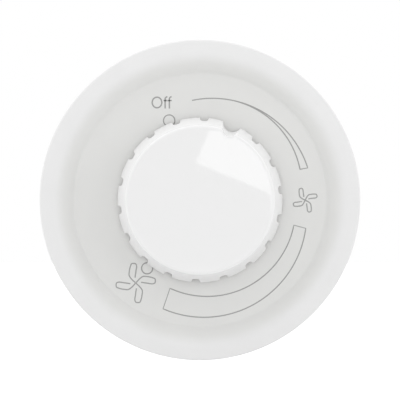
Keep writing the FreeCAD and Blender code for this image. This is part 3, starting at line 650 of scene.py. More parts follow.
NICKEL_CAP = BareMetal("nickel_cap", (0.77, 0.76, 0.74), (0.66, 0.65, 0.62), Grain.UPRIGHT, roughness=0.2,
                       rough_spread=0.06)
ENAMELLED_COPPER = BareMetal("copper_enamel", (0.6, 0.24, 0.1), (0.46, 0.15, 0.06), Grain.SPECKLED,
                             roughness=0.24, rough_spread=0.06)
BRIGHT_BRASS = BareMetal("bright_brass", (0.82, 0.64, 0.32), (0.68, 0.5, 0.22), Grain.ACROSS)
RESISTOR = BandedBody("resistor_lacquer", (0.6, 0.46, 0.3), middle=8.21, half_length=3.15,
                      bands=((-2.1, (0.25, 0.09, 0.03)), (-1.0, (0.02, 0.02, 0.02)),
                             (0.1, (0.75, 0.2, 0.02)), (2.0, (0.6, 0.42, 0.12))))
DIODE = BandedBody("diode_blue", (0.05, 0.11, 0.34), middle=8.21, half_length=1.9,
                   bands=((0.0, (0.02, 0.02, 0.025)),))


# Geometry Nodes

def shape_tree(name: str, sizes: dict[str, Kind]) -> tuple[Wiring, Node]:
    """Starts a geometry tree that takes a shape, its sizes and a material, and gives a shape."""
    shape = {"Geometry": Kind.GEOMETRY}
    return new_tree(name, "GeometryNodeTree", {**shape, **sizes, "Material": Kind.MATERIAL}, shape)


def finished_tree(wiring: Wiring, given: Node, geometry: Socket) -> Tree:
    """Ends a geometry tree: copies made real, and the material set.

    Args:
        wiring: the wiring of the tree.
        given: the node that gives its inputs.
        geometry: the shape that was made.

    Returns:
        The tree.
    """
    real = wiring.add("GeometryNodeRealizeInstances", {"Geometry": geometry})
    smooth = wiring.add("GeometryNodeSetShadeSmooth", {"Geometry": real.outputs[0]})
    painted = wiring.add("GeometryNodeSetMaterial", {"Geometry": smooth.outputs[0],
                                                     "Material": given.outputs["Material"]})
    wiring.add("NodeGroupOutput", {"Geometry": painted.outputs[0]})
    return wiring.tree


@functools.cache
def turned_shell_tree() -> Tree:
    """A closed profile of points, with the radius in X and the height in Z, spun about the dial's axis.

    Returns:
        The geometry tree.
    """
    wiring, given = shape_tree("turned_shell", {"Segments": Kind.INT})
    profile = given.outputs["Geometry"]
    count = wiring.add("GeometryNodeAttributeDomainSize", {"Geometry": profile})
    columns = wiring.math("ADD", given.outputs["Segments"], 1)
    grid = wiring.add("GeometryNodeMeshGrid", {"Vertices X": count.outputs["Point Count"],
                                               "Vertices Y": columns})
    index = wiring.add("GeometryNodeInputIndex").outputs[0]
    row = wiring.math("FLOOR", wiring.math("DIVIDE", wiring.math("ADD", index, 0.5), columns))
    column = wiring.math("SUBTRACT", index, wiring.math("MULTIPLY", row, columns))
    position = wiring.add("GeometryNodeInputPosition").outputs[0]
    corner = wiring.add("GeometryNodeSampleIndex", {"Geometry": profile, "Value": position, "Index": row},
                        data_type="FLOAT_VECTOR")
    parts = wiring.add("ShaderNodeSeparateXYZ", {0: wiring.socket(corner.outputs, "Value")})
    turn = wiring.math("MULTIPLY", wiring.math("DIVIDE", column, given.outputs["Segments"]), math.tau)
    spot = wiring.add("ShaderNodeCombineXYZ", {
        "X": wiring.math("MULTIPLY", parts.outputs["X"], wiring.math("SINE", turn)),
        "Y": wiring.math("MULTIPLY", parts.outputs["Z"], -1.0),
        "Z": wiring.math("MULTIPLY", parts.outputs["X"], wiring.math("COSINE", turn))})
    spun = wiring.add("GeometryNodeSetPosition", {"Geometry": grid.outputs["Mesh"],
                                                  "Position": spot.outputs[0]})
    welded = wiring.add("GeometryNodeMergeByDistance", {"Geometry": spun.outputs[0],
                                                        "Distance": WELD_MM * MM})
    return finished_tree(wiring, given, welded.outputs[0])


@functools.cache
def ring_of_copies_tree() -> Tree:
    """Copies of a shape, turned about a line along Y through a centre by even steps of the dial.

    Returns:
        The geometry tree.
    """
    wiring, given = shape_tree("ring_of_copies", {"Count": Kind.INT, "First": Kind.FLOAT, "Step": Kind.FLOAT,
                                                  "Centre": Kind.VECTOR})
    points = wiring.add("GeometryNodePoints", {"Count": given.outputs["Count"],
                                               "Position": given.outputs["Centre"]})
    index = wiring.add("GeometryNodeInputIndex").outputs[0]
    degrees = wiring.math("MULTIPLY_ADD", index, given.outputs["Step"], given.outputs["First"])
    euler = wiring.add("ShaderNodeCombineXYZ", {"Y": wiring.math("RADIANS", degrees)})
    turn = wiring.add("FunctionNodeEulerToRotation", {0: euler.outputs[0]})
    copies = wiring.add("GeometryNodeInstanceOnPoints", {"Points": points.outputs[0],
                                                         "Instance": given.outputs["Geometry"],
                                                         "Rotation": turn.outputs[0]})
    return finished_tree(wiring, given, copies.outputs[0])


@functools.cache
def ink_line_tree() -> Tree:
    """A flat line of even width and thickness along a path drawn in the XY plane, stood up to face -Y.

    Returns:
        The geometry tree.
    """
    wiring, given = shape_tree("ink_line", {"Width": Kind.FLOAT, "Thickness": Kind.FLOAT,
                                            "Offset": Kind.VECTOR})
    nib = wiring.add("GeometryNodeCurvePrimitiveQuadrilateral", {"Width": given.outputs["Width"],
                                                                 "Height": given.outputs["Thickness"]})
    ribbon = wiring.add("GeometryNodeCurveToMesh", {"Curve": given.outputs["Geometry"],
                                                    "Profile Curve": nib.outputs[0], "Fill Caps": True})
    stood = wiring.add("GeometryNodeTransform", {"Geometry": ribbon.outputs[0],
                                                 "Translation": given.outputs["Offset"],
                                                 "Rotation": (math.pi / 2, 0.0, 0.0)})
    return finished_tree(wiring, given, stood.outputs[0])


@functools.cache
def toroid_winding_tree() -> Tree:
    """Wire wound in even turns round a ring of squarish section, whose axis runs along Y.

    Returns:
        The geometry tree.
    """
    names = ("Middle Radius", "Half Width", "Half Height", "Squareness", "Wire Radius", "First", "Span")
    wiring, given = shape_tree("toroid_winding", {"Turns": Kind.INT, "Points": Kind.INT,
                                                  **{name: Kind.FLOAT for name in names},
                                                  "Centre": Kind.VECTOR})
    size = {name: given.outputs[name] for name in names}
    straight = wiring.add("GeometryNodeCurvePrimitiveLine")
    count = wiring.math("MULTIPLY", given.outputs["Turns"], given.outputs["Points"])
    path = wiring.add("GeometryNodeResampleCurve", {"Curve": straight.outputs[0], "Count": count})
    share = wiring.add("GeometryNodeSplineParameter").outputs["Factor"]
    lap = wiring.math("MULTIPLY", wiring.math("MULTIPLY", share, given.outputs["Turns"]), math.tau)

    def squared(wave: Socket) -> Socket:
        """A sine or cosine pushed towards a square wave, keeping its sign."""
        power = wiring.math("POWER", wiring.math("ABSOLUTE", wave), size["Squareness"])
        return wiring.math("MULTIPLY", power, wiring.math("SIGN", wave))

    out_and_in = wiring.math("MULTIPLY", squared(wiring.math("COSINE", lap)), size["Half Width"])
    radius = wiring.math("ADD", size["Middle Radius"], out_and_in)
    level = wiring.math("MULTIPLY", squared(wiring.math("SINE", lap)), size["Half Height"])
    turn = wiring.math("RADIANS", wiring.math("MULTIPLY_ADD", share, size["Span"], size["First"]))
    spot = wiring.add("ShaderNodeCombineXYZ", {
        "X": wiring.math("MULTIPLY", radius, wiring.math("SINE", turn)), "Y": level,
        "Z": wiring.math("MULTIPLY", radius, wiring.math("COSINE", turn))})
    placed = wiring.add("ShaderNodeVectorMath", {0: spot.outputs[0], 1: given.outputs["Centre"]})
    wound = wiring.add("GeometryNodeSetPosition", {"Geometry": path.outputs[0],
                                                   "Position": placed.outputs[0]})
    section = wiring.add("GeometryNodeCurvePrimitiveCircle", {"Resolution": WIRE_SIDES,
                                                              "Radius": size["Wire Radius"]})
    wire = wiring.add("GeometryNodeCurveToMesh", {"Curve": wound.outputs[0],
                                                  "Profile Curve": section.outputs[0], "Fill Caps": True})
    return finished_tree(wiring, given, wire.outputs[0])


# Making pieces

def on_dial(angle: float, radius: float, height: float) -> Vector:
    """The point in the frame, in metres, at a dial angle, a radius and a height off the wall."""
    turn = math.radians(angle)
    return Vector((radius * math.sin(turn), -height, radius * math.cos(turn))) * MM


def dial_point(angle: float, radius: float) -> Point:
    """A flat point, right and up, at a dial angle and a radius."""
    turn = math.radians(angle)
    return (radius * math.sin(turn), radius * math.cos(turn))


def new_object(name: str, data: bpy.types.ID) -> Piece:
    """Puts an object in the scene.

    Args:
        name: the object's name.
        data: its mesh, curve, camera or light.

    Returns:
        The object, at the origin.
    """
    made = bpy.data.objects.new(name, data)
    bpy.context.scene.collection.objects.link(made)
    return made


def mesh_piece(name: str, corners: Any, faces: Any, finish: Finish | None = None) -> Piece:
    """A mesh object from corners in millimetres.

    Args:
        name: the object's name.
        corners: the corners in the frame, in millimetres.
        faces: the faces, as rows of corner numbers.
        finish: the finish of the whole mesh, if it has one.

    Returns:
        The object, at the origin.
    """
    mesh = bpy.data.meshes.new(name)
    mesh.from_pydata((np.asarray(corners, float) * MM).tolist(), [], [list(face) for face in faces])
    if finish:
        mesh.materials.append(material_of(finish))
    return new_object(name, mesh)


def grown(source: Piece, tree: Tree, values: dict[str, Any], finish: Finish) -> Piece:
    """Runs a geometry tree on an object and keeps the result as that object's plain mesh.

    Args:
        source: the object that carries the tree's input, replaced by the result.
        tree: the geometry tree.
        values: the tree's inputs, by name.
        finish: the finish that the tree sets.

    Returns:
        A new object of the same name, with no modifier.
    """
    modifier = source.modifiers.new(tree.name, "NODES")
    modifier.node_group = tree
    keys = {item.name: item.identifier for item in tree.interface.items_tree if item.in_out == "INPUT"}
    for name, value in {**values, "Material": material_of(finish)}.items():
        modifier[keys[name]] = value
    bpy.context.view_layer.update()
    graph = bpy.context.evaluated_depsgraph_get()
    mesh = bpy.data.meshes.new_from_object(source.evaluated_get(graph))
    name = source.name
    mesh.name = name
    bpy.data.objects.remove(source)
    return new_object(name, mesh)


def turned(name: str, section: Sequence[Point], segments: int, finish: Finish) -> Piece:
    """A piece turned about the dial's axis.

    Args:
        name: the object's name.
        section: its section, as radii and heights.
        segments: how many segments go round.
        finish: its finish.

    Returns:
        The piece as a mesh.
    """
    profile = mesh_piece(name, [(radius, 0.0, height) for radius, height in section], [])
    return grown(profile, turned_shell_tree(), {"Segments": segments}, finish)


def repeated(piece: Piece, count: int, first: float, centre: Sequence[float], finish: Finish) -> Piece:
    """Even copies of a piece, all the way round a line along Y.

    Args:
        piece: the piece, as it is at dial angle 0.
        count: how many copies there are.
        first: the dial angle of the first copy.
        centre: a point of the line, in metres.
        finish: their finish.

    Returns:
        The copies as one mesh.
    """
    return grown(piece, ring_of_copies_tree(), {"Count": count, "First": first, "Step": FULL_TURN / count,
                                                "Centre": centre}, finish)


def joined(name: str, pieces: Sequence[Piece], finish: Finish) -> Piece:
    """Puts several meshes into one object of one finish.

    Args:
        name: the object's name.
        pieces: the pieces, which are taken out of the scene.
        finish: the finish of the whole.

    Returns:
        The object.
    """
    build = bmesh.new()
    for piece in pieces:
        build.from_mesh(piece.data)
    mesh = bpy.data.meshes.new(name)
    build.to_mesh(mesh)
    build.free()
    mesh.materials.append(material_of(finish))
    for polygon in mesh.polygons:
        polygon.material_index = 0
    for piece in pieces:
        bpy.data.objects.remove(piece)
    return new_object(name, mesh)


def cleaned(piece: Piece) -> Piece:
    """Merges doubles, turns faces outwards and smooths all but the sharp edges.

    Args:
        piece: the piece, changed in place.

    Returns:
        The same piece.
    """
    build = bmesh.new()
    build.from_mesh(piece.data)
    bmesh.ops.remove_doubles(build, verts=build.verts, dist=WELD_MM * MM)
    bmesh.ops.dissolve_degenerate(build, edges=build.edges, dist=SPECK_MM * MM)
    bmesh.ops.recalc_face_normals(build, faces=build.faces)
    build.to_mesh(piece.data)
    build.free()
    piece.data.shade_smooth()
    piece.data.set_sharp_from_angle(angle=SMOOTH_BELOW)
    return piece


def drawn_path(name: str, points: Sequence[Point], closed: bool, smooth: bool) -> Piece:
    """A flat path in the XY plane.

    Args:
        name: the object's name.
        points: the points, right and up, in millimetres.
        closed: whether the end joins the start.
        smooth: whether the path bends smoothly through its points.

    Returns:
        The curve object.
    """
    curve = bpy.data.curves.new(name, "CURVE")
    curve.dimensions = "3D"
    curve.twist_mode = "Z_UP"
    spline = curve.splines.new("BEZIER" if smooth else "POLY")
    rows = spline.bezier_points if smooth else spline.points
    rows.add(len(points) - 1)
    for row, (right, up) in zip(rows, points):
        if smooth:
            row.co = Vector((right, up, 0.0)) * MM
            row.handle_left_type = row.handle_right_type = "AUTO"
        else:
            row.co = (right * MM, up * MM, 0.0, 1.0)
    spline.use_cyclic_u = closed
    return new_object(name, curve)


def arc_points(centre: Point, radius: float, start: float, end: float, steps: int) -> list[Point]:
    """Points along an arc, by its angles in degrees from the first axis."""
    turns = np.radians(np.linspace(start, end, steps + 1))
    return [(centre[0] + radius * math.cos(t), centre[1] + radius * math.sin(t)) for t in turns]


def arc_through(first: Point, middle: Point, last: Point, steps: int) -> list[Point]:
    """Points along the arc through three points.

    Args:
        first: where the arc starts.
        middle: a point on the way.
        last: where the arc ends.
        steps: how many stretches it is drawn in.

    Returns:
        The points, with both ends.
    """
    (ax, ay), (bx, by), (cx, cy) = first, middle, last
    twice = 2 * (ax * (by - cy) + bx * (cy - ay) + cx * (ay - by))
    a, b, c = (x * x + y * y for x, y in (first, middle, last))
    centre = ((a * (by - cy) + b * (cy - ay) + c * (ay - by)) / twice,
              (a * (cx - bx) + b * (ax - cx) + c * (bx - ax)) / twice)
    start, way, end = (math.degrees(math.atan2(y - centre[1], x - centre[0]))
                       for x, y in (first, middle, last))
    sweep = (end - start) % FULL_TURN
    if (way - start) % FULL_TURN > sweep:
        sweep -= FULL_TURN
    return arc_points(centre, math.dist(centre, first), start, start + sweep, steps)


def settle(piece: Piece, body: Body, replaced: Iterable[str] = ()) -> Piece:
    """Hands a finished piece to the frame and reports it.

    Args:
        piece: the piece, in its place.
        body: the CAD body that it moves with.
        replaced: the CAD nodes that it stands for.

    Returns:
        The same piece.
    """
    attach(piece, body.value)
    if replaced:
        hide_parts(*replaced)
    log.info("%s rides on %s, %d faces", piece.name, body.value, len(piece.data.polygons))
    return piece


# Sub-assemblies

@dataclass
class CoverPlate:
    """The round cover: a tilted rim, a slope down to the dish floor, a boss and two pegs."""

    radius: float = 40.0
    wall: float = 2.0
    floor_front: float = 7.0
    rim_rise: float = 2.0
    rim_tilt: float = 6.0
    edge_round: float = 0.5
    foot_edge_round: float = 0.3
    crest_inset: float = 3.5
    slope_width: float = 4.8
    slope_foot_round: float = 1.0
    bush_hole: float = 5.3
    boss_radius: float = 7.9
    boss_drop: float = 0.6
    peg_radius: float = 1.5
    peg_chamfer: float = 0.3
    peg_circle: float = 32.5
    peg_first: float = 45.0
    peg_count: int = 2
    peg_end: float = -0.5
    peg_root: float = 6.5
    floor_rings: int = 10
    slope_foot_steps: int = 10
    crest_steps: int = 24
    edge_steps: int = 8
    foot_edge_steps: int = 5
    segments: int = 288
    peg_segments: int = 40
    finish: DishedCover = COVER_WHITE

    def profile(self) -> list[Point]:
        """The closed section of the shell.

        Returns:
            Radii and heights, from the hole over the front and back along the inside.
        """
        crest = (self.radius - self.crest_inset, self.floor_front + self.rim_rise)
        sweep = (self.slope_width ** 2 + self.rim_rise ** 2) / (2 * self.rim_rise)
        crest_centre = (crest[0], crest[1] - sweep)
        foot_level = self.floor_front + self.slope_foot_round
        drop = foot_level - crest_centre[1]
        foot_run = math.sqrt((sweep + self.slope_foot_round) ** 2 - drop ** 2)
        foot_centre = (crest[0] - foot_run, foot_level)
        foot_end = math.degrees(math.atan2(-drop, foot_run))
        tilt = math.radians(self.rim_tilt)
        rim_start = (crest[0] + sweep * math.sin(tilt), crest_centre[1] + sweep * math.cos(tilt))

        def rim_level(radius: float) -> float:
            """The height of the tilted rim at a radius."""
            return rim_start[1] - (radius - rim_start[0]) * math.tan(tilt)

        edge_radius = self.radius - self.edge_round
        edge_centre = (edge_radius, rim_level(edge_radius) - self.edge_round / math.cos(tilt))
        rim_turn = 90.0 - self.rim_tilt
        inner = self.radius - self.wall
        floor_back = self.floor_front - self.wall
        boss_back = floor_back - self.boss_drop
        foot = self.foot_edge_round
        floor = np.linspace(self.bush_hole, foot_centre[0], self.floor_rings)[:-1]
        section = [(radius, self.floor_front) for radius in floor]
        section += arc_points(foot_centre, self.slope_foot_round, -90.0, foot_end, self.slope_foot_steps)
        section += arc_points(crest_centre, sweep, 180.0 + foot_end, rim_turn, self.crest_steps)[1:]
        section += arc_points(edge_centre, self.edge_round, rim_turn, 0.0, self.edge_steps)
        section += arc_points((self.radius - foot, foot), foot, 0.0, -90.0, self.foot_edge_steps)
        section += [(inner, 0.0), (inner, rim_level(inner) - self.wall), (crest[0], crest[1] - self.wall),
                    (foot_centre[0], floor_back), (self.boss_radius, floor_back),
                    (self.boss_radius, boss_back), (self.bush_hole, boss_back)]
        return [*section, section[0]]

    def pegs(self) -> Piece:
        """The locating pegs behind the dish.

        Returns:
            All pegs as one mesh.
        """
        section = [(0.0, self.peg_root), (self.peg_radius, self.peg_root),
                   (self.peg_radius, self.peg_end + self.peg_chamfer),
                   (self.peg_radius - self.peg_chamfer, self.peg_end), (0.0, self.peg_end)]
        peg = turned("peg_section", section, self.peg_segments, self.finish)
        peg.data.transform(Matrix.Translation(on_dial(0.0, self.peg_circle, 0.0)))
        return repeated(peg, self.peg_count, self.peg_first, AXIS_MIDDLE, self.finish)

    def build(self) -> Piece:
        """Builds the cover with its pegs and puts it in place of the CAD node.

        Returns:
            The cover.
        """
        shell = turned("cover_section", self.profile(), self.segments, self.finish)
        cover = cleaned(joined("cover", [shell, self.pegs()], self.finish))
        return settle(cover, Body.BASE, ["cover_plate"])


def rounded_max(first: np.ndarray, second: np.ndarray, radius: float) -> np.ndarray:
    """The distance to what lies inside two shapes at once, with the edge between them rounded.

    Args:
        first: distances to one shape, negative inside.
        second: distances to the other shape.
        radius: the radius of the rounded edge.

    Returns:
        Distances to the common shape.
    """
    corner = np.hypot(np.maximum(first + radius, 0.0), np.maximum(second + radius, 0.0))
    return np.minimum(np.maximum(first, second) + radius, 0.0) + corner - radius


@dataclass
class DialKnob:
    """The hollow dial knob, with small grip notches, a deep index notch and a boss for the shaft.

    Its skin is found along rays from inside the wall, so that every edge of a notch is rounded.
    Heights are over the knob's foot, and angles are in radians from the index notch.
    """

    foot_height: float = 7.6
    foot_radius: float = 20.6
    height: float = 13.6
    draft: float = 9.0
    top_round: float = 0.75
    foot_round: float = 0.2
    index_angle: float = 23.0
    index_radius: float = 2.4
    index_top_radius: float = 1.75
    index_depth: float = 1.95
    index_wall: float = 1.6
    index_round: float = 0.28
    grip_count: int = 18
    grip_width: float = 2.1
    grip_depth: float = 0.95
    grip_corner: float = 0.7
    grip_round: float = 0.14
    wall: float = 2.4
    roof: float = 2.2
    boss_radius: float = 5.05
    boss_foot: float = 3.1
    bore_radius: float = 3.05
    bore_flat: float = 1.65
    bore_end: float = 10.4
    rib_count: int = 6
    rib_width: float = 1.2
    rib_height: float = 3.0
    rib_overlap: float = 0.4
    rib_root: float = 0.5
    ray_start: Point = (10.0, 4.0)
    ray_length: float = 16.0
    halvings: int = 44
    even_columns: int = 240
    grip_columns: int = 37
    grip_reach: float = 0.75
    index_columns: int = 121
    index_reach: float = 10.0
    column_gap: float = 0.0006
    top_shares: tuple[float, ...] = (0.0, 0.12, 0.25, 0.4, 0.55, 0.7, 0.82, 0.9, 0.95, 0.98)
    edge_rows: int = 22
    upper_rows: int = 8
    upper_clear: float = 1.2
    run_out_rows: int = 13
    run_out_above: float = 0.9
    run_out_below: float = 1.5
    lower_rows: int = 5
    lower_clear: float = 2.0
    lower_end: float = 0.9
    foot_levels: tuple[float, ...] = (0.5, 0.3, 0.2, 0.1, 0.0)
    foot_insets: tuple[float, ...] = (0.1, 0.2, 0.35)
    inner_rows: int = 8
    ceiling_shares: tuple[float, ...] = (0.75, 0.5, 0.25, 0.0)
    finish: PolishedCap = KNOB_WHITE
    slope: float = field(init=False)

    def __post_init__(self) -> None:
        """Works out the lean of the wall."""
        self.slope = math.tan(math.radians(self.draft))

    def index_centre(self, height: np.ndarray | float) -> np.ndarray | float:
        """How far from the axis the middle of the index notch's column is, at a height."""
        return self.foot_radius - self.index_depth + self.index_radius - height * self.slope

    def index_width(self, height: np.ndarray | float) -> np.ndarray | float:
        """The radius of the index notch's column, at a height."""
        return self.index_radius + (self.index_top_radius - self.index_radius) * height / self.height

    def near_side(self, turn: np.ndarray, height: np.ndarray | float, wall: float = 0.0) -> np.ndarray:
        """The radius at which a ray from the axis meets the index notch's column.

        Args:
            turn: angles.
            height: heights.
            wall: how far the column is grown.

        Returns:
            The radii, very large where the ray misses the column.
        """
        centre = self.index_centre(height)
        radius = self.index_width(height) + wall
        inside = radius ** 2 - (centre * np.sin(turn)) ** 2
        met = centre * np.cos(turn) - np.sqrt(np.maximum(inside, 0.0))
        return np.where((inside > 0) & (np.cos(turn) > 0), met, FAR_MM)

    def wall_radius(self, turn: np.ndarray, level: float) -> np.ndarray:
        """The radius of the wall without its grips, at some angles and a height."""
        return np.minimum(self.foot_radius - level * self.slope, self.near_side(turn, level))

    def distance(self, turn: np.ndarray, radius: np.ndarray, height: np.ndarray) -> np.ndarray:
        """Distances to the knob's outer skin, negative inside.

        Args:
            turn: angles.
            radius: radii from the axis.
            height: heights.

        Returns:
            The distances, with every edge rounded.
        """
        lean = math.cos(math.radians(self.draft))
        side = (radius - self.foot_radius + height * self.slope) * lean
        skin = rounded_max(side, height - self.height, self.top_round)
        skin = rounded_max(skin, -height, self.foot_round)
        across = radius * np.sin(turn)
        along = radius * np.cos(turn)
        column = np.hypot(across, along - self.index_centre(height)) - self.index_width(height)
        skin = rounded_max(skin, -column, self.index_round)
        pitch = math.tau / self.grip_count
        nearest = np.round(turn / pitch)
        local = turn - nearest * pitch
        flank = np.abs(radius * np.sin(local)) - self.grip_width / 2
        floor = self.foot_radius - self.grip_depth - radius * np.cos(local)
        grip = rounded_max(flank, floor, self.grip_corner)
        grip = np.where(np.mod(nearest, self.grip_count) == 0, FAR_MM, grip)
        return rounded_max(skin, -grip, self.grip_round)

    def turns(self) -> np.ndarray:
        """The angles of the mesh's columns, close together where a notch's flank is.

        Returns:
            The angles, rising.
        """
        even = np.linspace(0.0, math.tau, self.even_columns, endpoint=False)
        pitch = math.tau / self.grip_count
        across = np.linspace(-self.grip_reach, self.grip_reach, self.grip_columns) * self.grip_width
        flanks = np.arctan2(across, self.foot_radius)
        grips = (np.arange(1, self.grip_count)[:, None] * pitch + flanks).ravel()
        index = np.radians(np.linspace(-self.index_reach, self.index_reach, self.index_columns))
        columns = np.sort(np.mod(np.concatenate([even, grips, index]), math.tau))
        apart = np.diff(columns, append=columns[0] + math.tau) > self.column_gap
        return columns[apart]

    def wall_levels(self, top: float) -> list[float]:
        """The heights of the rows down the wall, close together where the grips run out and at the foot.

        Args:
            top: where the wall starts, under the rounded edge.

        Returns:
            The heights, falling.
        """
        grip_end = self.grip_depth / self.slope
        upper = np.linspace(top, grip_end + self.upper_clear, self.upper_rows)[1:]
        run_out = np.linspace(grip_end + self.run_out_above, grip_end - self.run_out_below, self.run_out_rows)
        lower = np.linspace(grip_end - self.lower_clear, self.lower_end, self.lower_rows)
        return [*upper, *run_out, *lower, *self.foot_levels]

    def aims(self, turn: np.ndarray) -> np.ndarray:
        """Points that the rays aim at, from the top's middle over the edge and down to the foot.

        Args:
            turn: angles.

        Returns:
            For each angle a row of radii and heights.
        """
        top_flat = self.foot_radius - self.height * self.slope - self.top_round
        edge = np.minimum(top_flat, self.near_side(turn, self.height) - self.index_round)
        low = self.height - self.top_round
        wall_top = self.wall_radius(turn, low)
        rows = [(share * edge, self.height) for share in self.top_shares]
        for share in np.linspace(0.0, 1.0, self.edge_rows):
            rows.append((edge + (wall_top - edge) * share, self.height + (low - self.height) * share))
        rows += [(self.wall_radius(turn, level), level) for level in self.wall_levels(low)]
        rows += [(self.wall_radius(turn, 0.0) - inset, 0.0) for inset in self.foot_insets]
        return self.columns(rows)

    @staticmethod
    def columns(rows: list[tuple[np.ndarray, float]]) -> np.ndarray:
        """Rows of radii at a height each, set in order as columns of radii and heights."""
        return np.array([[radii, np.full_like(radii, level)] for radii, level in rows]).transpose(2, 0, 1)

    def skin(self, turn: np.ndarray) -> np.ndarray:
        """The outer skin.

        Args:
            turn: angles.

        Returns:
            Radii and heights for every angle, from the top's middle to the foot.
        """
        aims = self.aims(turn)
        start = np.array(self.ray_start)
        way = aims - start
        way /= np.linalg.norm(way, axis=2, keepdims=True)
        near = np.zeros(aims.shape[:2])
        far = np.full(aims.shape[:2], self.ray_length)
        spread = np.broadcast_to(turn[:, None], near.shape)
        for _ in range(self.halvings):
            middle = (near + far) / 2
            spot = start + way * middle[..., None]
            outside = self.distance(spread, spot[..., 0], spot[..., 1]) > 0
            far = np.where(outside, middle, far)
            near = np.where(outside, near, middle)
        found = start + way * far[..., None]
        found[:, 0] = (0.0, self.height)
        return found

    def inside(self, turn: np.ndarray) -> np.ndarray:
        """The hollow.

        Args:
            turn: angles.

        Returns:
            Radii and heights for every angle, from the foot to the end of the bore.
        """
        ceiling = self.height - self.roof

        def wall_at(level: float) -> np.ndarray:
            """The radius of the hollow at a height, drawn in behind the index notch."""
            free = self.foot_radius - self.wall - level * self.slope
            return np.minimum(free, self.near_side(turn, level, self.index_wall))

        to_flat = np.cos(turn - math.pi)
        bore = self.bore_flat / np.maximum(to_flat, self.bore_flat / self.bore_radius)
        boss = np.full_like(turn, self.boss_radius)
        rows = [(wall_at(level), level) for level in np.linspace(0.0, ceiling, self.inner_rows)]
        rows += [(boss + (wall_at(ceiling) - boss) * share, ceiling) for share in self.ceiling_shares]
        rows += [(boss, self.boss_foot), (bore, self.boss_foot), (bore, self.bore_end),
                 (np.zeros_like(turn), self.bore_end)]
        return self.columns(rows)

    def ribs(self) -> Piece:
        """The ribs between boss and wall under the roof.

        Returns:
            All ribs as one mesh.
        """
        half = self.rib_width / 2
        ceiling = self.height - self.roof
        levels = (self.foot_height + ceiling - self.rib_height, self.foot_height + ceiling + self.rib_root)
        ends = (self.boss_radius - self.rib_overlap,
                self.foot_radius - self.wall - ceiling * self.slope + self.rib_overlap)
        corners = [(x, -level, z) for level in levels for z in ends for x in (-half, half)]
        rib = mesh_piece("rib", corners, BOX_FACES, self.finish)
        first = self.index_angle + FULL_TURN / self.rib_count / 2
        return repeated(rib, self.rib_count, first, AXIS_MIDDLE, self.finish)

    def build(self) -> Piece:
        """Builds the knob and puts it in place of the CAD node.

        Returns:
            The knob.
        """
        turn = self.turns()
        section = np.concatenate([self.skin(turn), self.inside(turn)], axis=1)
        angle = turn + math.radians(self.index_angle)
        radius, level = section[..., 0], section[..., 1]
        corners = np.stack([radius * np.sin(angle)[:, None], -(self.foot_height + level),
                            radius * np.cos(angle)[:, None]], axis=2)
        rows, stations = radius.shape
        number = np.arange(rows * stations).reshape(rows, stations)
        after = np.roll(number, -1, axis=0)
        faces = np.stack([number[:, :-1], number[:, 1:], after[:, 1:], after[:, :-1]], axis=2).reshape(-1, 4)
        shell = mesh_piece("knob_shell", corners.reshape(-1, 3), faces, self.finish)
        knob = cleaned(joined("dial_knob", [shell, self.ribs()], self.finish))
        return settle(knob, Body.ROTOR, ["knob"])


@dataclass
class PadPrint:
    """Marks printed on a flat face that looks to the front or the back, drawn as lines of ink."""

    level: float = 7.0
    line: float = 0.29
    film: float = 0.03
    overprint: float = 0.01
    finish: MouldedPlastic = DIAL_INK

    def inked(self, name: str, points: Sequence[Point], closed: bool = False, smooth: bool = False,
              width: float | None = None, level: float | None = None) -> Piece:
        """A printed line along a path.

        Args:
            name: the object's name.
            points: the path, right and up as seen from the front.
            closed: whether it closes.
            smooth: whether it bends smoothly through its points.
            width: its width, where it isn't the print's own.
            level: the height of the print's middle, where it isn't on the face.

        Returns:
            The line as a mesh.
        """
        height = self.level if level is None else level
        return grown(drawn_path(name, points, closed, smooth), ink_line_tree(),
                     {"Width": (width or self.line) * MM, "Thickness": self.film * MM,
                      "Offset": (0.0, -height * MM, 0.0)}, self.finish)


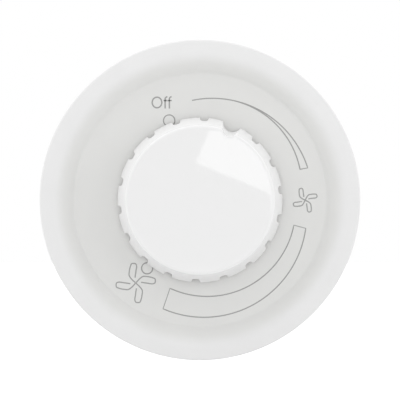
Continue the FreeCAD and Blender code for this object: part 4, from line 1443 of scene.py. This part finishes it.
@dataclass
class DialPrint(PadPrint):
    """The marks printed on the dish floor: a word, two end rings, a taper, a band and two fans.

    Places are dial angles with dial radii, and a ring's place ends with its own radius, a fan's
    with its scale and its turn. Letters and the blade are drawn right and up.
    """

    letter_line: float = 0.35
    taper_start: Point = (-4.55, 24.95)
    taper_outer: tuple[Point, Point] = ((27.5, 26.65), (73.4, 28.08))
    taper_split: int = 18
    taper_inner: tuple[Point, Point] = ((47.0, 26.8), (72.95, 26.13))
    taper_steps: tuple[int, int] = (64, 48)
    band_start: float = 105.0
    band_end: float = 198.75
    band_outer: tuple[float, Point, float] = (27.35, (155.0, 29.37), 28.69)
    band_inner: tuple[float, Point, float] = (24.28, (132.5, 24.75), 23.28)
    band_steps: int = 72
    off_ring: tuple[float, float, float] = (-21.2, 21.27, 1.42)
    full_ring: tuple[float, float, float] = (217.73, 21.57, 1.39)
    ring_steps: int = 48
    small_fan: tuple[float, float, float, float] = (90.1, 26.28, 0.638, -15.5)
    large_fan: tuple[float, float, float, float] = (217.75, 26.21, 1.0, 0.0)
    blade: tuple[Point, ...] = ((-0.06, 0.06), (-1.1, 1.05), (-1.64, 1.9), (-1.63, 2.6), (-1.24, 4.4),
                                (-1.02, 4.8), (-0.56, 4.89), (-0.1, 4.82), (0.15, 4.5), (0.06, 3.0),
                                (-0.17, 1.34))
    blade_count: int = 4
    letter_o: tuple[Point, float, float] = ((-10.73, 24.35), 1.2, 1.32)
    letter_f_stems: tuple[float, float] = (-8.69, -7.64)
    letter_base: float = 22.86
    letter_bar: float = 24.84
    letter_top: float = 25.78
    hook_run: float = 0.56
    hook_steps: int = 8
    bar_reach: tuple[float, float] = (-0.4, 0.58)

    def circle(self, centre: Point, radius: float) -> list[Point]:
        """The points of a circle, without its start again at the end."""
        return arc_points(centre, radius, 0.0, FULL_TURN, self.ring_steps)[:-1]

    def word(self) -> list[Piece]:
        """The letters of the off position.

        Returns:
            Their strokes.
        """
        (middle, up), half_width, half_height = self.letter_o
        oval = [(middle + half_width * x, up + half_height * y) for x, y in self.circle((0.0, 0.0), 1.0)]
        strokes = [self.inked("letter_o", oval, closed=True, width=self.letter_line)]
        for stem in self.letter_f_stems:
            bend = (stem + self.hook_run, self.letter_top - self.hook_run)
            hook = arc_points(bend, self.hook_run, 180.0, 90.0, self.hook_steps)
            strokes.append(self.inked("letter_f", [(stem, self.letter_base), *hook], width=self.letter_line))
            bar = [(stem + reach, self.letter_bar) for reach in self.bar_reach]
            strokes.append(self.inked("letter_bar", bar, width=self.letter_line))
        return strokes

    def ring(self, name: str, place: tuple[float, float, float]) -> Piece:
        """A small ring at an end position."""
        angle, far, radius = place
        return self.inked(name, self.circle(dial_point(angle, far), radius), closed=True)

    def taper(self) -> Piece:
        """The pointed outline that grows with the speed.

        Returns:
            The mark, whose inner side branches off the outer one and lies on its ink.
        """
        outer_way, outer_end = self.taper_outer
        inner_way, inner_end = self.taper_inner
        outer_steps, inner_steps = self.taper_steps
        outer = arc_through(dial_point(*self.taper_start), dial_point(*outer_way), dial_point(*outer_end),
                            outer_steps)
        inner = arc_through(outer[self.taper_split], dial_point(*inner_way), dial_point(*inner_end),
                            inner_steps)
        strokes = [self.inked("taper_outer", [*outer, inner[-1]]),
                   self.inked("taper_inner", inner, level=self.level + self.overprint)]
        return joined("taper_mark", strokes, self.finish)

    def band(self) -> Piece:
        """The broad outline of the upper speeds.

        Returns:
            The mark.
        """
        sides = []
        for start, way, end in (self.band_outer, self.band_inner):
            sides.append(arc_through(dial_point(self.band_start, start), dial_point(*way),
                                     dial_point(self.band_end, end), self.band_steps))
        return self.inked("band_mark", [*sides[0], *reversed(sides[1])], closed=True)

    def fan(self, name: str, place: tuple[float, float, float, float]) -> Piece:
        """A fan of four blades.

        Args:
            name: the object's name.
            place: its dial angle, dial radius, scale and turn.

        Returns:
            The mark.
        """
        angle, far, scale, turn = place
        outline = [(x * scale, y * scale) for x, y in self.blade]
        blade = self.inked(name, outline, smooth=True, level=0.0)
        return repeated(blade, self.blade_count, turn, on_dial(angle, far, self.level), self.finish)

    def build(self) -> list[Piece]:
        """Prints all the marks, as pieces that ride with the cover.

        Returns:
            The marks.
        """
        marks = [joined("off_mark", self.word(), self.finish), self.ring("off_ring", self.off_ring),
                 self.ring("full_ring", self.full_ring), self.taper(), self.band(),
                 self.fan("small_fan_mark", self.small_fan), self.fan("large_fan_mark", self.large_fan)]
        return [settle(cleaned(mark), Body.BASE) for mark in marks]


@dataclass
class TerminalPrint(PadPrint):
    """The numbers over the terminals' screw holes, on the back of the housing."""

    level: float = -29.0
    line: float = 0.36
    finish: MouldedPlastic = MARK_WHITE
    pitch: float = 6.5
    base: float = -13.6
    height: float = 2.4
    half_width: float = 0.72
    one_flag: Point = (0.7, 0.6)
    two_sweep: Point = (165.0, -35.0)
    three_sweep: Point = (150.0, -90.0)
    three_narrowing: float = 0.86
    bowl_steps: int = 16

    def figures(self) -> list[list[Point]]:
        """The strokes of one, two and three.

        Returns:
            For each figure its points, right and up from the middle of the base.
        """
        side, top = self.half_width, self.height
        small = side * self.three_narrowing
        large = (top - 2 * small) / 2
        back, down = self.one_flag
        start, end = self.three_sweep
        one = [(-side * back, top - side * down), (0.0, top), (0.0, 0.0)]
        two = [*arc_points((0.0, top - side), side, *self.two_sweep, self.bowl_steps),
               (-side, 0.0), (side, 0.0)]
        three = [*arc_points((0.0, top - small), small, start, end, self.bowl_steps),
                 *arc_points((0.0, large), large, -end, -start, self.bowl_steps)[1:]]
        return [one, two, three]

    def build(self) -> Piece:
        """Prints the numbers from left to right, as they are read from behind.

        Returns:
            The numbers as one piece.
        """
        strokes = []
        for place, figure in enumerate(self.figures()):
            right = (place - 1) * self.pitch
            points = [(-(right + x), self.base + y) for x, y in figure]
            strokes.append(self.inked("terminal_figure", points))
        return settle(cleaned(joined("terminal_marks", strokes, self.finish)), Body.BASE)


@dataclass
class ChokeWinding:
    """The enamelled wire wound round the choke's ferrite ring, with a lead at each end."""

    turns: int = 20
    points: int = 40
    middle_radius: float = 6.8
    half_width: float = 2.7
    half_height: float = 3.5
    squareness: float = 0.3
    wire_radius: float = 0.45
    first: float = 8.0
    span: float = 344.0
    up: float = 3.0
    level: float = -22.6
    board: float = -18.2
    lead_segments: int = 16
    finish: BareMetal = ENAMELLED_COPPER

    def coil(self) -> Piece:
        """The turns of wire.

        Returns:
            The coil as a mesh.
        """
        seed = mesh_piece("choke_seed", [AXIS_MIDDLE], [])
        return grown(seed, toroid_winding_tree(), {
            "Turns": self.turns, "Points": self.points, "Middle Radius": self.middle_radius * MM,
            "Half Width": self.half_width * MM, "Half Height": self.half_height * MM,
            "Squareness": self.squareness, "Wire Radius": self.wire_radius * MM, "First": self.first,
            "Span": self.span, "Centre": on_dial(0.0, self.up, self.level)}, self.finish)

    def lead(self, angle: float) -> Piece:
        """A straight lead from the coil to the board.

        Args:
            angle: the angle round the ring at which it leaves the coil.

        Returns:
            The lead as a mesh.
        """
        section = [(0.0, self.board), (self.wire_radius, self.board), (self.wire_radius, self.level),
                   (0.0, self.level)]
        lead = turned("lead_section", section, self.lead_segments, self.finish)
        spot = on_dial(angle, self.middle_radius + self.half_width, 0.0) + on_dial(0.0, self.up, 0.0)
        lead.data.transform(Matrix.Translation(spot))
        return lead

    def build(self) -> Piece:
        """Builds the winding in place of the CAD node.

        Returns:
            The winding.
        """
        leads = [self.lead(angle) for angle in (self.first, self.first + self.span)]
        winding = cleaned(joined("choke_wire", [self.coil(), *leads], self.finish))
        return settle(winding, Body.BASE, ["choke_winding"])


@dataclass
class DressedNodes:
    """The CAD nodes, each with its finish."""

    finishes: dict[Finish, tuple[str, ...]] = field(default_factory=lambda: {
        COVER_WHITE: ("cover_plate",),
        KNOB_WHITE: ("knob",),
        ENAMELLED_COPPER: ("choke_winding",),
        PLATED_BRASS: ("cover_nut", "threaded_bush", "bush_nut"),
        ZINC_SHEET: ("mounting_ring",),
        ZINC_SCREW: ("lock_washer", "housing_screws", "triac_screw", "terminal_screws"),
        SPRING_STEEL: ("knob_spring_ring", "shaft_circlip"),
        SHEET_ALUMINIUM: ("heat_sink_plate",),
        TURNED_ALUMINIUM: ("shaft",),
        HOUSING_BLACK: ("rear_housing", "insert_lid"),
        PHENOLIC_BLACK: ("pot_case", "triac"),
        ACETAL: ("wiper_carrier",),
        TRACK_PAPER: ("resistor_track",),
        CONTACT_BRONZE: ("wiper", "switch_ring", "switch_contacts"),
        TINNED: ("pot_pins", "fuse_clips", "fuse_wire"),
        NICKEL_CAP: ("fuse_caps",),
        SolderMask(): ("circuit_board",),
        PAD_RUBBER: ("triac_pad",),
        FERRITE: ("choke_core",),
        CAPACITOR_YELLOW: ("suppression_capacitor",),
        FILM_RED: ("timing_capacitor",),
        RESISTOR: ("resistors",),
        DIODE: ("trigger_diode",),
        ClearGlass(): ("fuse_tube",),
        TERMINAL_GREY: ("terminal_block",),
        BRIGHT_BRASS: ("terminal_clamps",),
    })

    def dress(self) -> None:
        """Gives every CAD node its material."""
        for finish, names in self.finishes.items():
            for name in names:
                for slot in frame["nodes"][name].material_slots:
                    slot.material = material_of(finish)
            log.info("%s dresses %s", finish.name, ", ".join(names))


@dataclass
class Studio:
    """The camera, the soft lights, the world and the floor, in metres, watts and degrees.

    The key and edge lights stand at a dial angle and a lean away from the viewer's line.
    """

    distance: float = 1.03
    frame_half: float = 0.0499
    sensor: float = 36.0
    clip: Point = (0.01, 50.0)
    aim: Point = (0.00001, 0.0)
    plate_height: float = 0.008
    floor_level: float = -0.062
    floor_half: float = 3.0
    floor_colour: Colour = (0.8, 0.8, 0.8)
    floor_glow: float = 0.4
    sky_front: float = 0.685
    sky_side: float = 1.4
    sky_lean: tuple[float, float, float] = (-0.06, 0.0, 0.03)
    lamp_distance: float = 1.0
    key_place: Point = (80.0, 42.0)
    key_size: Point = (0.5, 0.5)
    key_watts: float = 0.65
    edge_place: Point = (325.0, 88.0)
    edge_size: Point = (1.3, 0.25)
    edge_watts: float = 0.55
    panel_place: tuple[float, float, float] = (0.0749, -1.343, 0.0377)
    panel_size: Point = (0.13, 0.09)
    panel_watts: float = 0.085
    panel_roll: float = -22.6

    def camera(self) -> None:
        """Sets the camera in front of the dial, far off with a long lens."""
        data = bpy.data.cameras.new("front_camera")
        data.sensor_width = self.sensor
        data.lens = self.sensor * self.distance / (2 * self.frame_half)
        data.clip_start, data.clip_end = self.clip
        camera = new_object("front_camera", data)
        camera.location = (self.aim[0], -self.plate_height - self.distance, self.aim[1])
        camera.rotation_euler = (math.pi / 2, 0.0, 0.0)
        bpy.context.scene.camera = camera

    def seen_directly(self, wiring: Wiring) -> Socket:
        """A mask of the rays that show the background itself.

        Args:
            wiring: the nodes of the world or the floor.

        Returns:
            The socket of the mask.
        """
        path = wiring.add("ShaderNodeLightPath")
        straight = wiring.math("MAXIMUM", path.outputs["Is Camera Ray"], path.outputs["Is Glossy Ray"])
        return wiring.math("MAXIMUM", straight, path.outputs["Is Transmission Ray"])

    def sky(self) -> None:
        """A white surround, stronger at the sides than in front and behind, and most at the upper left."""
        world = bpy.data.worlds.new("soft_surround")
        bpy.context.scene.world = world
        wiring = emptied(world)
        way = wiring.add("ShaderNodeTexCoord").outputs["Generated"]
        ring = wiring.span(wiring.math("ABSOLUTE", wiring.part(way, "Y")), self.sky_side, self.sky_front)
        lean = wiring.add("ShaderNodeVectorMath", {0: way, 1: self.sky_lean}, operation="DOT_PRODUCT")
        level = wiring.math("ADD", ring, lean.outputs["Value"])
        light = wiring.add("ShaderNodeBackground", {"Color": WHITE, "Strength": level})
        white = wiring.add("ShaderNodeBackground", {"Color": WHITE, "Strength": 1.0})
        both = wiring.add("ShaderNodeMixShader", {0: self.seen_directly(wiring), 1: light.outputs[0],
                                                  2: white.outputs[0]})
        wiring.add("ShaderNodeOutputWorld", {"Surface": both.outputs[0]})

    def softbox(self, name: str, place: Sequence[float], aim: Sequence[float], size: Point, watts: float,
                roll: float = 0.0) -> None:
        """An even rectangular light.

        Args:
            name: the light's name.
            place: where it stands.
            aim: the point that it faces.
            size: its width and height.
            watts: its power.
            roll: its turn about its own axis.
        """
        data = bpy.data.lights.new(name, "AREA")
        data.shape = "RECTANGLE"
        data.size, data.size_y = size
        data.energy = watts
        light = new_object(name, data)
        light.location = place
        facing = (Vector(aim) - Vector(place)).to_track_quat("-Z", "Y")
        light.rotation_euler = (facing.to_matrix() @ Matrix.Rotation(math.radians(roll), 3, "Z")).to_euler()

    def around(self, angle: float, lean: float) -> Vector:
        """A lamp's place, by its dial angle and its lean away from the viewer's line."""
        tip = math.radians(lean)
        return on_dial(angle, math.sin(tip), math.cos(tip)) / MM * self.lamp_distance

    def lights(self) -> None:
        """Sets the lamps: a key from the right, a long strip from the upper left and a small front panel."""
        self.softbox("key_light", self.around(*self.key_place), AXIS_MIDDLE, self.key_size, self.key_watts)
        self.softbox("edge_light", self.around(*self.edge_place), AXIS_MIDDLE, self.edge_size,
                     self.edge_watts)
        right, _, up = self.panel_place
        self.softbox("front_panel", self.panel_place, (right, 0.0, up), self.panel_size, self.panel_watts,
                     self.panel_roll)

    def floor(self) -> None:
        """A plain pale floor well under the object, which keeps its shadow."""
        half = self.floor_half
        corners = [(-half, -half, self.floor_level), (half, -half, self.floor_level),
                   (half, half, self.floor_level), (-half, half, self.floor_level)]
        mesh = bpy.data.meshes.new("pale_floor")
        mesh.from_pydata(corners, [], [(0, 1, 2, 3)])
        material = bpy.data.materials.new("pale_floor")
        wiring = emptied(material)
        shaded_dish = wiring.add("ShaderNodeBsdfDiffuse", {"Color": (*self.floor_colour, 1.0)})
        glow = wiring.math("MULTIPLY", self.seen_directly(wiring), self.floor_glow)
        lit = wiring.add("ShaderNodeEmission", {"Strength": glow})
        both = wiring.add("ShaderNodeAddShader", {0: shaded_dish.outputs[0], 1: lit.outputs[0]})
        wiring.add("ShaderNodeOutputMaterial", {"Surface": both.outputs[0]})
        mesh.materials.append(material)
        new_object("pale_floor", mesh)

    def build(self) -> None:
        """Sets up the whole studio."""
        self.camera()
        self.sky()
        self.lights()
        self.floor()
        bpy.context.scene.view_settings.view_transform = "Standard"
        log.info("studio is set")


def main() -> None:
    """Builds and dresses the pieces in order."""
    logging.basicConfig(level=logging.INFO, format="%(name)s: %(message)s")
    Studio().build()
    DressedNodes().dress()
    CoverPlate().build()
    DialKnob().build()
    DialPrint().build()
    TerminalPrint().build()
    ChokeWinding().build()


if __name__ == "__main__":
    main()
